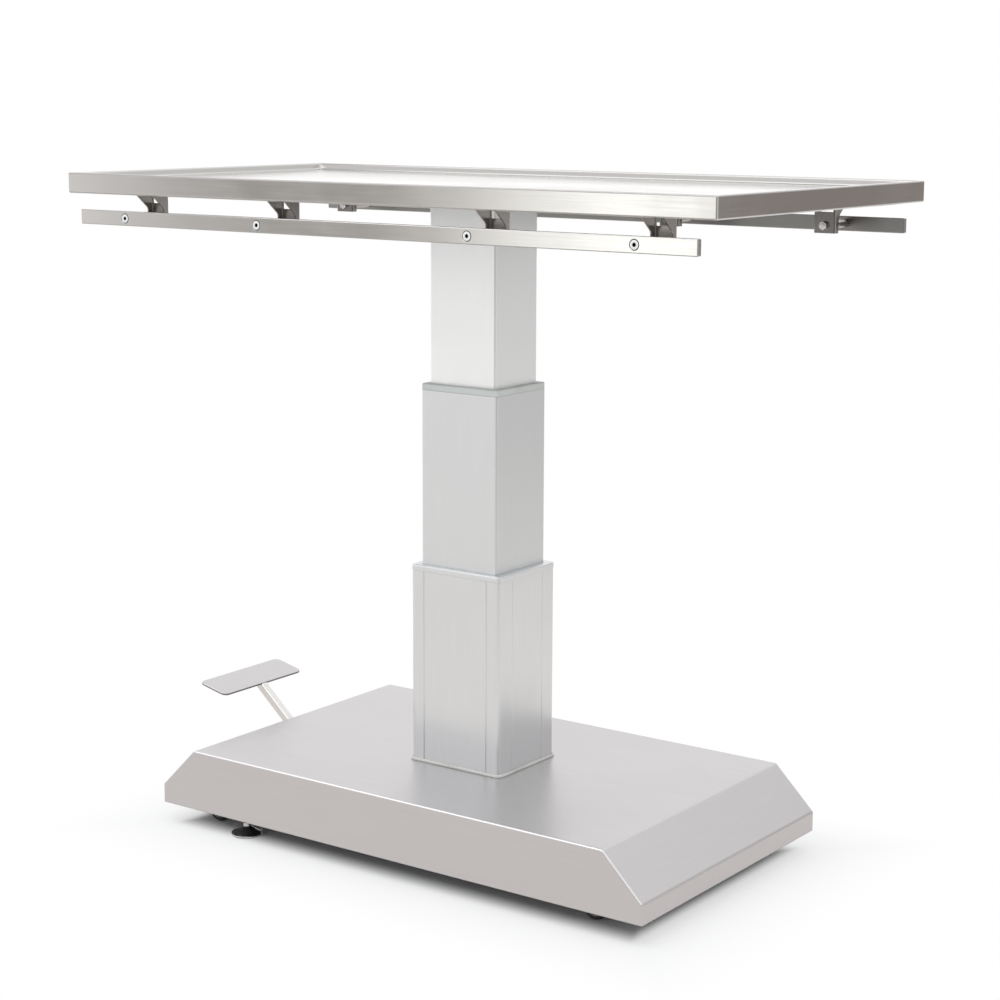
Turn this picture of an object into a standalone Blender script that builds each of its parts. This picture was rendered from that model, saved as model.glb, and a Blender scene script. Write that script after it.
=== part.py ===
"""Veterinary surgery table: a stainless tray on a three-stage column, raised by a foot pump.

Metres, +Z up, the floor at z = 0. +X runs along the table and the pump pedal is at the -X end.
The column stands at its full height.
"""

import math

import bmesh
import bpy
from mathutils import Matrix, Vector

# Clearances
GAP = 0.0003
WELD = 0.00001

# Tray
TABLE_LENGTH = 1.300
TABLE_WIDTH = 0.670
TABLE_HEIGHT = 1.163
APRON_DEPTH = 0.035
APRON_RETURN = 0.016
RIM_WIDTH = 0.012
PAN_DEPTH = 0.012
PAN_DRAFT = 0.004
TRAY_SHEET = 0.002
TRAY_BEND = 0.0025

# Clamp rails
RAIL_END_INSET = 0.030
RAIL_HEIGHT = 0.025
RAIL_THICKNESS = 0.010
RAIL_EDGE = 0.0012
RAIL_DROP = 0.062
BOLT_END_INSET = 0.1065
BOLT_INNER_SPACING = 0.427

# Rail brackets, with the bolts that hold the rails
BRACKET_WIDTH = 0.040
BRACKET_SHEET = 0.0025
BRACKET_FOLD = 0.004
WEB_SETBACK = 0.087
WEB_HEIGHT = 0.035
CHEEK_LEG = 0.022
CHEEK_FOOT = 0.012
CHEEK_HEAD = 0.055
CHEEK_CURVE = 0.010
CHEEK_SLOPE = math.radians(50)
SPACER_RADIUS = 0.007
BOLT_RADIUS = 0.004
BOLT_HEAD_RADIUS = 0.0085
BOLT_SOCKET_RADIUS = 0.0028
BOLT_SOCKET_DEPTH = 0.003
BOLT_TAIL = 0.002
NUT_FLATS = 0.013
NUT_HEIGHT = 0.0065

# Tray frame and column head
BEARER_SPACING = 0.240
BEARER_OVERHANG = 0.0365
BEARER_WIDTH = 0.030
BEARER_HEIGHT = 0.020
CROSS_TUBE_INSET = 0.001
TUBE_WALL = 0.002
VENT_RADIUS = 0.004
HEAD_MARGIN = 0.010
HEAD_LENGTH = 0.240
HEAD_THICKNESS = 0.008

# Column
OUTER_LENGTH = 0.190
OUTER_WIDTH = 0.165
OUTER_WALL = 0.004
MID_WALL = 0.004
TOP_WALL = 0.005
MID_SLIDE_X = 0.011
MID_SLIDE_Y = 0.0075
TOP_SLIDE_X = 0.007
TOP_SLIDE_Y = 0.006
OUTER_CORNER = 0.008
MID_CORNER = 0.004
TOP_CORNER = 0.004
SIDE_GROOVE_INSET = 0.028
END_GROOVE_INSET = 0.038
GROOVE_WIDTH = 0.003
GROOVE_DEPTH = 0.0014
OUTER_RISE = 0.352
MID_RISE = 0.316
STAGE_OVERLAP = 0.120
BEZEL_HEIGHT = 0.010
BEZEL_LAND = 0.0006
BEZEL_EDGE = 0.0025
COLLAR_HEIGHT = 0.011
COLLAR_EDGE = 0.0015
WIPER_DEPTH = 0.003
WIPER_GAP = 0.0006
GUIDE_HEIGHT = 0.040
SEAL_WIDTH = 0.004
SEAL_HEIGHT = 0.005
SEAL_EDGE = 0.0025

# Telescopic ram
RAM_RADIUS = 0.033
RAM_WALL = 0.005
RAM_FLOOR = 0.012
RAM_CLEARANCE = 0.0005
RAM_OVERLAP = 0.050
RAM_BARREL_LENGTH = 0.350
RAM_SLEEVE_LENGTH = 0.350

# Base
BASE_LENGTH = 1.022
BASE_WIDTH = 0.560
BASE_SLOPE = 0.076
BASE_HEIGHT = 0.145
BASE_CLEARANCE = 0.0365
BASE_LIP = 0.0335
BASE_SHEET = 0.002
BASE_BEND = 0.003
COLUMN_OPENING_GAP = 0.001
PLATE_THICKNESS = 0.008
PLATE_END_GAP = 0.020
FLANGE_MARGIN = 0.048
FLANGE_THICKNESS = 0.010

# Foot pedal
PIVOT_INSET = 0.098
PEDAL_TRAVEL = math.radians(20)
LEVER_ANGLE = math.radians(41.4)
LEVER_WIDTH = 0.015
LEVER_THICKNESS = 0.015
LEVER_EDGE = 0.0015
STEM_LENGTH = 0.1506
HUB_RADIUS = 0.013
HUB_LENGTH = 0.033
ARM_LENGTH = 0.025
ARM_LEAN = math.radians(10)
ARM_REACH = 0.0185
ARM_CLEARANCE = 0.002
PEDAL_LENGTH = 0.066
PEDAL_WIDTH = 0.217
PEDAL_THICKNESS = 0.004
PEDAL_CORNER = 0.011
PEDAL_TILT = math.radians(12.5)
PEDAL_OVERHANG = 0.0094
SLOT_CLEARANCE = 0.004
SHAFT_RADIUS = 0.007
SHAFT_END = 0.004
CLEVIS_THICKNESS = 0.012
CLEVIS_RADIUS = 0.016
CLEVIS_FLOOR = 0.005
SPRING_WIRE = 0.0025
SPRING_PITCH = 0.0042
SPRING_TURNS = 4
SPRING_LEG = 0.012
SPRING_END_GAP = 0.001

# Foot pump and oil
PUMP_LENGTH = 0.075
PUMP_WIDTH = 0.050
PUMP_HEIGHT = 0.040
PUMP_EDGE = 0.003
PLUNGER_RADIUS = 0.006
PLUNGER_EXPOSED = 0.014
PLUNGER_SEATED = 0.028
PLUNGER_BORE = 0.045
RESERVOIR_LENGTH = 0.100
RESERVOIR_WIDTH = 0.090
RESERVOIR_HEIGHT = 0.055
RESERVOIR_EDGE = 0.008
RESERVOIR_OFFSET = 0.036
FILLER_RADIUS = 0.012
FILLER_HEIGHT = 0.008
PIPE_RADIUS = 0.004

# Castors
CASTOR_END_INSET = 0.102
CASTOR_SIDE_INSET = 0.067
CASTOR_TRAIL = 0.024
WHEEL_RADIUS = 0.021
WHEEL_WIDTH = 0.020
WHEEL_EDGE = 0.004
WHEEL_DISH = 0.0025
WHEEL_TYRE = 0.007
FORK_SHEET = 0.0025
FORK_SIDE_GAP = 0.001
FORK_TOP_GAP = 0.0015
FORK_CROWN = 0.015
FORK_CROWN_THICKNESS = 0.0042
FORK_BOSS = 0.007
SWIVEL_RADIUS = 0.013
SWIVEL_HEIGHT = 0.006
KINGPIN_RADIUS = 0.005
AXLE_RADIUS = 0.004
AXLE_HEAD_RADIUS = 0.006
AXLE_HEAD = 0.002

# Levelling feet
FOOT_AHEAD = 0.069
FOOT_SIDE_INSET = 0.034
FOOT_RADIUS = 0.0285
FOOT_RIM = 0.005
FOOT_LIP = 0.0015
FOOT_CONE = 0.017
FOOT_NECK = 0.008
FOOT_STUD_RADIUS = 0.005
FOOT_STUD_SPARE = 0.025

# Heights that follow from the sizes above
LIP_TOP = BASE_CLEARANCE + BASE_LIP
WELL_TOP = 2 * WHEEL_RADIUS + FORK_TOP_GAP
CROWN_TOP = WELL_TOP + FORK_CROWN_THICKNESS
CASTOR_HEIGHT = CROWN_TOP + SWIVEL_HEIGHT
PLATE_BOTTOM = CASTOR_HEIGHT + GAP
PLATE_TOP = PLATE_BOTTOM + PLATE_THICKNESS
FLANGE_TOP = PLATE_TOP + GAP + FLANGE_THICKNESS
OUTER_TOP = BASE_HEIGHT + OUTER_RISE
MID_TOP = OUTER_TOP + MID_RISE
MID_BOTTOM = OUTER_TOP - STAGE_OVERLAP
TOP_BOTTOM = MID_TOP - STAGE_OVERLAP
PAN_UNDERSIDE = TABLE_HEIGHT - PAN_DEPTH - TRAY_SHEET
FRAME_BOTTOM = PAN_UNDERSIDE - GAP - BEARER_HEIGHT
HEAD_BOTTOM = FRAME_BOTTOM - GAP - HEAD_THICKNESS
RAIL_BOTTOM = TABLE_HEIGHT - RAIL_DROP - RAIL_HEIGHT
RAIL_MIDDLE = RAIL_BOTTOM + RAIL_HEIGHT / 2

# Sections of the column that follow from the sizes above
OUTER_SIZE = (OUTER_LENGTH, OUTER_WIDTH)
OUTER_CAVITY = (OUTER_LENGTH - 2 * OUTER_WALL, OUTER_WIDTH - 2 * OUTER_WALL)
MID_SIZE = (OUTER_CAVITY[0] - 2 * MID_SLIDE_X, OUTER_CAVITY[1] - 2 * MID_SLIDE_Y)
MID_CAVITY = (MID_SIZE[0] - 2 * MID_WALL, MID_SIZE[1] - 2 * MID_WALL)
TOP_SIZE = (MID_CAVITY[0] - 2 * TOP_SLIDE_X, MID_CAVITY[1] - 2 * TOP_SLIDE_Y)
TOP_CAVITY = (TOP_SIZE[0] - 2 * TOP_WALL, TOP_SIZE[1] - 2 * TOP_WALL)
OUTER_CAVITY_CORNER = OUTER_CORNER - OUTER_WALL
MID_CAVITY_CORNER = MID_CORNER / 3
TOP_CAVITY_CORNER = TOP_CORNER / 3

# Places that follow from the sizes above
RAIL_LENGTH = TABLE_LENGTH - 2 * RAIL_END_INSET
BOLT_OUTER_SPACING = RAIL_LENGTH - 2 * BOLT_END_INSET
RAIL_FACE = TABLE_WIDTH / 2
RAIL_BACK = RAIL_FACE - RAIL_THICKNESS
WEB_INNER = TABLE_WIDTH / 2 - WEB_SETBACK
BRACKET_X = [spacing / 2 for spacing in
             (-BOLT_OUTER_SPACING, -BOLT_INNER_SPACING, BOLT_INNER_SPACING, BOLT_OUTER_SPACING)]
SIDES = (("near", -1), ("far", 1))
PIVOT_HEIGHT = GAP + CLEVIS_FLOOR + ARM_CLEARANCE + math.hypot(ARM_LENGTH, LEVER_THICKNESS / 2)
PIVOT = Vector((-BASE_LENGTH / 2 + PIVOT_INSET, 0, PLATE_TOP + PIVOT_HEIGHT))
SPRING_SPACE = SPRING_PITCH * SPRING_TURNS + SPRING_WIRE + 2 * SPRING_END_GAP
CLEVIS_WIDTH = HUB_LENGTH + 2 * SPRING_SPACE + 2 * CLEVIS_THICKNESS
PLUNGER_Z = PIVOT.z - ARM_REACH
ARM_CONTACT = LEVER_THICKNESS / 2 + PLUNGER_RADIUS + GAP
PLUNGER_TIP = PIVOT.x + (ARM_CONTACT - ARM_REACH * math.sin(ARM_LEAN)) / math.cos(ARM_LEAN)
PUMP_FRONT = PLUNGER_TIP + PLUNGER_EXPOSED
PUMP_BACK = PUMP_FRONT + PUMP_LENGTH
PIPE_HEIGHT = PLATE_TOP + GAP + PUMP_HEIGHT / 2
CASTOR_X = BASE_LENGTH / 2 - CASTOR_END_INSET
CASTOR_Y = BASE_WIDTH / 2 - CASTOR_SIDE_INSET
CASTORS = [(x * CASTOR_X, y * CASTOR_Y) for x in (-1, 1) for y in (-1, 1)]
FEET = [(FOOT_AHEAD - CASTOR_X, y * (BASE_WIDTH / 2 - FOOT_SIDE_INSET)) for y in (-1, 1)]
BOLT_STEPS = 12
BORE_STEPS = 16
ROUND_STEPS = 20
CORNER_STEPS = 4


def clear_scene():
    for obj in list(bpy.data.objects):
        bpy.data.objects.remove(obj)


def new_collection(name):
    collection = bpy.data.collections.new(name)
    bpy.context.scene.collection.children.link(collection)
    return collection


clear_scene()
PARTS = new_collection("veterinary_surgery_table")
CUTTERS = new_collection("cutters")


def finish(name, colour, roughness, metallic):
    material = bpy.data.materials.new(name)
    material.use_nodes = True
    shader = material.node_tree.nodes["Principled BSDF"]
    shader.inputs["Base Color"].default_value = (*colour, 1)
    shader.inputs["Roughness"].default_value = roughness
    shader.inputs["Metallic"].default_value = metallic
    return material


STAINLESS = finish("stainless", (0.66, 0.65, 0.63), 0.32, 1)
RAIL_STEEL = finish("rail_steel", (0.62, 0.61, 0.59), 0.28, 1)
BRACKET_STEEL = finish("bracket_steel", (0.50, 0.48, 0.46), 0.35, 1)
BOLT_STEEL = finish("bolt_steel", (0.70, 0.70, 0.70), 0.25, 1)
ALUMINIUM = finish("column_aluminium", (0.78, 0.78, 0.77), 0.38, 1)
COLUMN_WHITE = finish("column_white", (0.85, 0.86, 0.86), 0.45, 0)
COLLAR_GREY = finish("collar_grey", (0.55, 0.57, 0.56), 0.5, 0)
SEALANT = finish("sealant", (0.75, 0.75, 0.72), 0.35, 0)
GUIDE_PLASTIC = finish("guide_plastic", (0.80, 0.78, 0.70), 0.5, 0)
PAINTED_STEEL = finish("painted_steel", (0.12, 0.12, 0.13), 0.5, 0)
PUMP_IRON = finish("pump_iron", (0.25, 0.26, 0.28), 0.55, 0)
HARD_CHROME = finish("hard_chrome", (0.75, 0.76, 0.78), 0.12, 1)
ZINC = finish("zinc", (0.62, 0.63, 0.64), 0.35, 1)
WHEEL_RUBBER = finish("wheel_rubber", (0.06, 0.06, 0.065), 0.6, 0)


def world_place(axis):
    place = Vector((0, 0, 0))
    while axis is not None:
        place += axis.location
        axis = axis.parent
    return place


def add_axis(name, place, parent=None):
    """An empty on a joint's axis, which carries the pieces that move on it."""
    axis = bpy.data.objects.new(name, None)
    axis.empty_display_size = 0.05
    axis.location = Vector(place) - world_place(parent)
    axis.parent = parent
    PARTS.objects.link(axis)
    return axis


def add_part(name, mesh, material, axis, place=(0, 0, 0), turn=(0, 0, 0)):
    obj = bpy.data.objects.new(name, mesh)
    if not mesh.materials:
        mesh.materials.append(material)
    obj.parent = axis
    obj.location = Vector(place) - world_place(axis)
    obj.rotation_euler = turn
    PARTS.objects.link(obj)
    return obj


def soften(obj, width, segments):
    bevel = obj.modifiers.new("Bevel", "BEVEL")
    bevel.width = width
    bevel.segments = segments
    bevel.limit_method = "ANGLE"
    bevel.angle_limit = math.radians(40)


def fold(obj, sheet):
    """Gives a sheet-metal surface its thickness, inwards."""
    solidify = obj.modifiers.new("Sheet", "SOLIDIFY")
    solidify.thickness = sheet
    solidify.offset = -1
    solidify.use_even_offset = True


def combine(obj, mesh, operation, place):
    tool = bpy.data.objects.new(obj.name + "_cutter", mesh)
    tool.matrix_world = place
    tool.hide_render = True
    tool.display_type = "WIRE"
    CUTTERS.objects.link(tool)
    modifier = obj.modifiers.new(operation.title(), "BOOLEAN")
    modifier.operation = operation
    modifier.object = tool


def cut(obj, mesh, place=Matrix()):
    combine(obj, mesh, "DIFFERENCE", place)


def join(obj, mesh, place=Matrix()):
    combine(obj, mesh, "UNION", place)


def baked(obj):
    """The object's mesh as its modifiers leave it, welded. The object itself goes."""
    bpy.context.view_layer.update()
    graph = bpy.context.evaluated_depsgraph_get()
    mesh = bpy.data.meshes.new_from_object(obj.evaluated_get(graph))
    work = bmesh.new()
    work.from_mesh(mesh)
    bmesh.ops.remove_doubles(work, verts=work.verts, dist=WELD)
    work.to_mesh(mesh)
    work.free()
    bpy.data.objects.remove(obj)
    return mesh


def scratch(data):
    """An object for a shape that is still being made."""
    obj = bpy.data.objects.new("scratch", data)
    PARTS.objects.link(obj)
    return obj


def repeated(mesh, places):
    """One mesh with a copy of the given one at each place, for cutters."""
    work = bmesh.new()
    for place in places:
        first = len(work.verts)
        work.from_mesh(mesh)
        work.verts.ensure_lookup_table()
        bmesh.ops.transform(work, matrix=place, verts=work.verts[first:])
    together = bpy.data.meshes.new(mesh.name + "_set")
    work.to_mesh(together)
    work.free()
    return together


def merged(meshes):
    work = bmesh.new()
    for mesh in meshes:
        work.from_mesh(mesh)
    together = bpy.data.meshes.new("merged")
    work.to_mesh(together)
    work.free()
    return together


def moved(mesh, place):
    mesh.transform(place)
    return mesh


def smooth(mesh):
    mesh.shade_smooth()
    mesh.set_sharp_from_angle(angle=math.radians(35))
    return mesh


def at(x, y, z):
    return Matrix.Translation((x, y, z))


def along_x(mesh):
    return moved(mesh, Matrix.Rotation(math.pi / 2, 4, "Y"))


def along_y(mesh):
    return moved(mesh, Matrix.Rotation(math.pi / 2, 4, "X"))


def block(length, width, height):
    """A box round the origin."""
    work = bmesh.new()
    bmesh.ops.create_cube(work, size=1, matrix=Matrix.Diagonal((length, width, height, 1)))
    mesh = bpy.data.meshes.new("block")
    work.to_mesh(mesh)
    work.free()
    return mesh


def rod(radius, length, steps=BORE_STEPS):
    """A cylinder round the origin, along Z."""
    work = bmesh.new()
    bmesh.ops.create_cone(work, cap_ends=True, segments=steps, radius1=radius, radius2=radius, depth=length)
    mesh = bpy.data.meshes.new("rod")
    work.to_mesh(mesh)
    work.free()
    return smooth(mesh)


def extruded(outlines, thickness):
    """A flat plate round the XY plane. The outlines after the first are holes."""
    curve = bpy.data.curves.new("outline", "CURVE")
    curve.dimensions = "2D"
    curve.fill_mode = "BOTH"
    curve.extrude = thickness / 2
    for outline in outlines:
        spline = curve.splines.new("POLY")
        spline.points.add(len(outline) - 1)
        for point, (x, y) in zip(spline.points, outline):
            point.co = (x, y, 0, 1)
        spline.use_cyclic_u = True
    return smooth(baked(scratch(curve)))


def turned(profile, steps=ROUND_STEPS, closed=False):
    """A turned piece about Z. The profile is (radius, z) and runs down the outer side."""
    mesh = bpy.data.meshes.new("profile")
    edges = [(i, i + 1) for i in range(len(profile) - 1)]
    if closed:
        edges.append((len(profile) - 1, 0))
    mesh.from_pydata([(radius, 0, z) for radius, z in profile], edges, [])
    obj = scratch(mesh)
    screw = obj.modifiers.new("Screw", "SCREW")
    screw.steps = steps
    screw.render_steps = steps
    screw.use_merge_vertices = True
    screw.merge_threshold = WELD
    return smooth(baked(obj))


def tube(points, radius):
    """A round wire through the points, with closed ends."""
    curve = bpy.data.curves.new("tube", "CURVE")
    curve.dimensions = "3D"
    curve.bevel_depth = radius
    curve.bevel_resolution = 2
    curve.use_fill_caps = True
    spline = curve.splines.new("POLY")
    spline.points.add(len(points) - 1)
    for point, place in zip(spline.points, points):
        point.co = (*place, 1)
    return smooth(baked(scratch(curve)))


def arc(centre, radius, start, end, steps):
    """Points on an arc, in the plane of the outline."""
    turns = [start + (end - start) * i / steps for i in range(steps + 1)]
    return [(centre[0] + radius * math.cos(t), centre[1] + radius * math.sin(t)) for t in turns]


def circle(radius, steps=BORE_STEPS):
    return arc((0, 0), radius, 0, 2 * math.pi * (steps - 1) / steps, steps - 1)


def hexagon(flats):
    return circle(flats / math.sqrt(3), 6)


def rectangle(length, width):
    return [(x * length / 2, y * width / 2) for x, y in ((1, 1), (-1, 1), (-1, -1), (1, -1))]


def rounded_rectangle(length, width, radius):
    points = []
    for quarter, (x, y) in enumerate(((1, 1), (-1, 1), (-1, -1), (1, -1))):
        centre = (x * (length / 2 - radius), y * (width / 2 - radius))
        start = quarter * math.pi / 2
        points += arc(centre, radius, start, start + math.pi / 2, CORNER_STEPS)
    return points


def grooved_rectangle(length, width, radius):
    """A rounded rectangle with a V-groove beside each corner on all four sides."""
    corners = rounded_rectangle(length, width, radius)
    per_corner = CORNER_STEPS + 1
    faces = ((length / 2, width / 2, SIDE_GROOVE_INSET), (width / 2, length / 2, END_GROOVE_INSET))
    points = []
    for quarter in range(4):
        half, reach, inset = faces[quarter % 2]
        turn = Matrix.Rotation((quarter + 1) * math.pi / 2, 2)
        points += corners[quarter * per_corner:(quarter + 1) * per_corner]
        for groove in (inset - half, half - inset):
            for side, sink in ((-1, 0), (0, GROOVE_DEPTH), (1, 0)):
                notch = Vector((reach - sink, groove + side * GROOVE_WIDTH / 2))
                points.append(tuple(turn @ notch))
    return points


def grown(size, margin):
    return (size[0] + 2 * margin, size[1] + 2 * margin)


def make_tray(axis):
    work = bmesh.new()
    size = Matrix.Diagonal((TABLE_LENGTH, TABLE_WIDTH, 1, 1))
    bmesh.ops.create_grid(work, x_segments=1, y_segments=1, size=0.5, matrix=size)
    pan = list(work.faces)
    bmesh.ops.inset_individual(work, faces=pan, thickness=RIM_WIDTH)
    bmesh.ops.inset_individual(work, faces=pan, thickness=PAN_DRAFT, depth=-PAN_DEPTH)
    for inward, down in ((0, APRON_DEPTH), (APRON_RETURN, 0)):
        border = [edge for edge in work.edges if edge.is_boundary]
        skirt = bmesh.ops.extrude_edge_only(work, edges=border)["geom"]
        for vert in (item for item in skirt if isinstance(item, bmesh.types.BMVert)):
            vert.co.x -= math.copysign(inward, vert.co.x)
            vert.co.y -= math.copysign(inward, vert.co.y)
            vert.co.z -= down
    bmesh.ops.recalc_face_normals(work, faces=work.faces)
    if pan[0].normal.z < 0:
        bmesh.ops.reverse_faces(work, faces=work.faces)
    mesh = bpy.data.meshes.new("tray")
    work.to_mesh(mesh)
    work.free()
    tray = add_part("table_tray", smooth(mesh), STAINLESS, axis, (0, 0, TABLE_HEIGHT))
    soften(tray, TRAY_BEND, 2)
    fold(tray, TRAY_SHEET)


def box_tube(length, width, height):
    """A rectangular tube along X."""
    hollow = rectangle(height - 2 * TUBE_WALL, width - 2 * TUBE_WALL)
    return along_x(extruded([rectangle(height, width), hollow], length))


def make_table_frame(axis):
    """Two bearers with cross tubes and outriggers welded between and beside them."""
    middle = FRAME_BOTTOM + BEARER_HEIGHT / 2
    bearer_y = BEARER_SPACING / 2
    bearer = box_tube(BOLT_OUTER_SPACING + 2 * BEARER_OVERHANG, BEARER_WIDTH, BEARER_HEIGHT)
    bearers = repeated(bearer, [at(0, y * bearer_y, middle) for y in (-1, 1)])
    frame = add_part("table_frame", bearers, PAINTED_STEEL, axis)
    width = BRACKET_WIDTH - 2 * BRACKET_FOLD - 2 * GAP
    height = BEARER_HEIGHT - 2 * CROSS_TUBE_INSET
    across = Matrix.Rotation(math.pi / 2, 4, "Z")
    cross = box_tube(BEARER_SPACING - BEARER_WIDTH + TUBE_WALL, width, height)
    join(frame, repeated(cross, [at(x, 0, middle) @ across for x in BRACKET_X[1:3]]))
    start = bearer_y + BEARER_WIDTH / 2 - TUBE_WALL / 2
    end = WEB_INNER + CHEEK_HEAD - BRACKET_FOLD
    outrigger = box_tube(end - start, width, height)
    places = [at(x, y * (start + end) / 2, middle) @ across for x in BRACKET_X for y in (-1, 1)]
    join(frame, repeated(outrigger, places))
    vent = rod(VENT_RADIUS, BEARER_HEIGHT)
    cut(frame, repeated(vent, [at(x, 0, FRAME_BOTTOM) for x in BRACKET_X[1:3]]))


def make_head_plate(axis):
    width = BEARER_SPACING + BEARER_WIDTH + 2 * HEAD_MARGIN
    place = (0, 0, HEAD_BOTTOM + HEAD_THICKNESS / 2)
    add_part("head_plate", block(HEAD_LENGTH, width, HEAD_THICKNESS), PAINTED_STEEL, axis, place)


def bolt_places(side):
    """Where a rail's bolts enter, with local +Z pointing out of the rail's face."""
    turn = Matrix.Rotation(-side * math.pi / 2, 4, "X")
    return [at(x, side * RAIL_FACE, RAIL_MIDDLE) @ turn for x in BRACKET_X]


def make_rails(axis):
    radius = BOLT_RADIUS + GAP
    head = BOLT_HEAD_RADIUS + GAP
    above = RAIL_THICKNESS
    profile = [(0, above), (head, above), (head, 0), (radius, radius - head)]
    profile += [(radius, -2 * RAIL_THICKNESS), (0, -2 * RAIL_THICKNESS)]
    hole = turned(profile, BOLT_STEPS)
    for name, side in SIDES:
        place = (0, side * (RAIL_FACE + RAIL_BACK) / 2, RAIL_MIDDLE)
        bar = block(RAIL_LENGTH, RAIL_THICKNESS, RAIL_HEIGHT)
        rail = add_part(name + "_rail", bar, RAIL_STEEL, axis, place)
        soften(rail, RAIL_EDGE, 1)
        cut(rail, repeated(hole, bolt_places(side)))


def rail_bolt_mesh():
    """A countersunk socket bolt with its nut, the head's face at z = 0."""
    to_nut = RAIL_FACE - WEB_INNER + GAP
    tail = to_nut + NUT_HEIGHT + BOLT_TAIL
    profile = [(0, -BOLT_SOCKET_DEPTH), (BOLT_SOCKET_RADIUS, -BOLT_SOCKET_DEPTH)]
    profile += [(BOLT_SOCKET_RADIUS, 0), (BOLT_HEAD_RADIUS, 0)]
    profile += [(BOLT_RADIUS, BOLT_RADIUS - BOLT_HEAD_RADIUS), (BOLT_RADIUS, -tail), (0, -tail)]
    bolt = scratch(turned(profile, BOLT_STEPS))
    join(bolt, extruded([hexagon(NUT_FLATS)], NUT_HEIGHT), at(0, 0, -to_nut - NUT_HEIGHT / 2))
    return smooth(baked(bolt))


def make_rail_bolts(axis):
    mesh = rail_bolt_mesh()
    for name, side in SIDES:
        for number, place in enumerate(bolt_places(side), 1):
            turn = place.to_euler()
            add_part(f"{name}_rail_bolt_{number}", mesh, BOLT_STEEL, axis, place.translation, turn)


def bracket_plan():
    """The U of a bracket from above: the web along X at y = 0, the cheeks towards +Y."""
    half = BRACKET_WIDTH / 2
    inner = half - BRACKET_SHEET
    bend = BRACKET_FOLD - BRACKET_SHEET
    quarter = math.pi / 2
    points = [(half, CHEEK_HEAD), (inner, CHEEK_HEAD)]
    points += arc((inner - bend, BRACKET_FOLD), bend, 0, -quarter, CORNER_STEPS)
    points += arc((bend - inner, BRACKET_FOLD), bend, -quarter, -2 * quarter, CORNER_STEPS)
    points += [(-inner, CHEEK_HEAD), (-half, CHEEK_HEAD)]
    outer = half - BRACKET_FOLD
    points += arc((-outer, BRACKET_FOLD), BRACKET_FOLD, 2 * quarter, 3 * quarter, CORNER_STEPS)
    points += arc((outer, BRACKET_FOLD), BRACKET_FOLD, 3 * quarter, 4 * quarter, CORNER_STEPS)
    return points


def cheek_relief():
    """What is cut off the cheeks, seen from the side: upright leg, curve, then a straight slope."""
    centre = (CHEEK_FOOT + CHEEK_CURVE, CHEEK_LEG)
    points = [(CHEEK_FOOT, -CHEEK_LEG)]
    points += arc(centre, CHEEK_CURVE, math.pi, math.pi - CHEEK_SLOPE, CORNER_STEPS)
    run = CHEEK_HEAD + CHEEK_CURVE - points[-1][0]
    points.append((points[-1][0] + run, points[-1][1] + run / math.tan(CHEEK_SLOPE)))
    points.append((points[-1][0], -CHEEK_LEG))
    return points


def bracket_mesh():
    """A folded bracket with the spacer welded to it. z = 0 is its lower edge."""
    height = PAN_UNDERSIDE - GAP - RAIL_BOTTOM
    bracket = scratch(moved(extruded([bracket_plan()], height), at(0, 0, height / 2)))
    side_on = Matrix(((0, 0, 1, 0), (1, 0, 0, 0), (0, 1, 0, 0), (0, 0, 0, 1)))
    cut(bracket, extruded([cheek_relief()], 2 * BRACKET_WIDTH), side_on)
    window = block(BRACKET_WIDTH - 2 * BRACKET_FOLD, 2 * BRACKET_FOLD, height)
    cut(bracket, window, at(0, 0, WEB_HEIGHT + height / 2))
    start = BRACKET_SHEET / 2
    end = RAIL_BACK - WEB_INNER - GAP
    spacer = along_y(rod(SPACER_RADIUS, end - start, BOLT_STEPS))
    join(bracket, spacer, at(0, (start + end) / 2, RAIL_HEIGHT / 2))
    hole = along_y(rod(BOLT_RADIUS + GAP, 4 * end, BOLT_STEPS))
    cut(bracket, hole, at(0, 0, RAIL_HEIGHT / 2))
    return smooth(baked(bracket))


def make_brackets(axis):
    mesh = bracket_mesh()
    for name, side in SIDES:
        turn = (0, 0, 0 if side > 0 else math.pi)
        for number, x in enumerate(BRACKET_X, 1):
            place = (x, side * WEB_INNER, RAIL_BOTTOM)
            add_part(f"{name}_bracket_{number}", mesh, BRACKET_STEEL, axis, place, turn)


def round_top(mesh, width, segments):
    """Rounds the upper outside edge of a ring that stands round the Z axis."""
    work = bmesh.new()
    work.from_mesh(mesh)
    top = max(vert.co.z for vert in work.verts)
    edges = []
    for edge in work.edges:
        level = all(top - vert.co.z < WELD for vert in edge.verts)
        faces = edge.link_faces
        outside = any(face.normal.xy.dot(face.calc_center_median().xy) > WELD for face in faces)
        if level and outside:
            edges.append(edge)
    bmesh.ops.bevel(work, geom=edges, offset=width, segments=segments, profile=0.5, affect="EDGES")
    # The flat top is filled afresh, because its old triangles fold where its rim has moved in.
    lid = [face for face in work.faces if all(top - vert.co.z < WELD for vert in face.verts)]
    bmesh.ops.delete(work, geom=lid, context="FACES")
    rim = [edge for edge in work.edges if edge.is_boundary]
    bmesh.ops.triangle_fill(work, edges=rim, use_beauty=True, normal=(0, 0, 1))
    bmesh.ops.recalc_face_normals(work, faces=work.faces)
    work.to_mesh(mesh)
    work.free()
    return smooth(mesh)


def ring(outer, outer_corner, hole, hole_corner, bottom, top):
    """A rectangular ring between two heights."""
    outlines = [rounded_rectangle(*outer, outer_corner), rounded_rectangle(*hole, hole_corner)]
    return moved(extruded(outlines, top - bottom), at(0, 0, (bottom + top) / 2))


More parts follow.
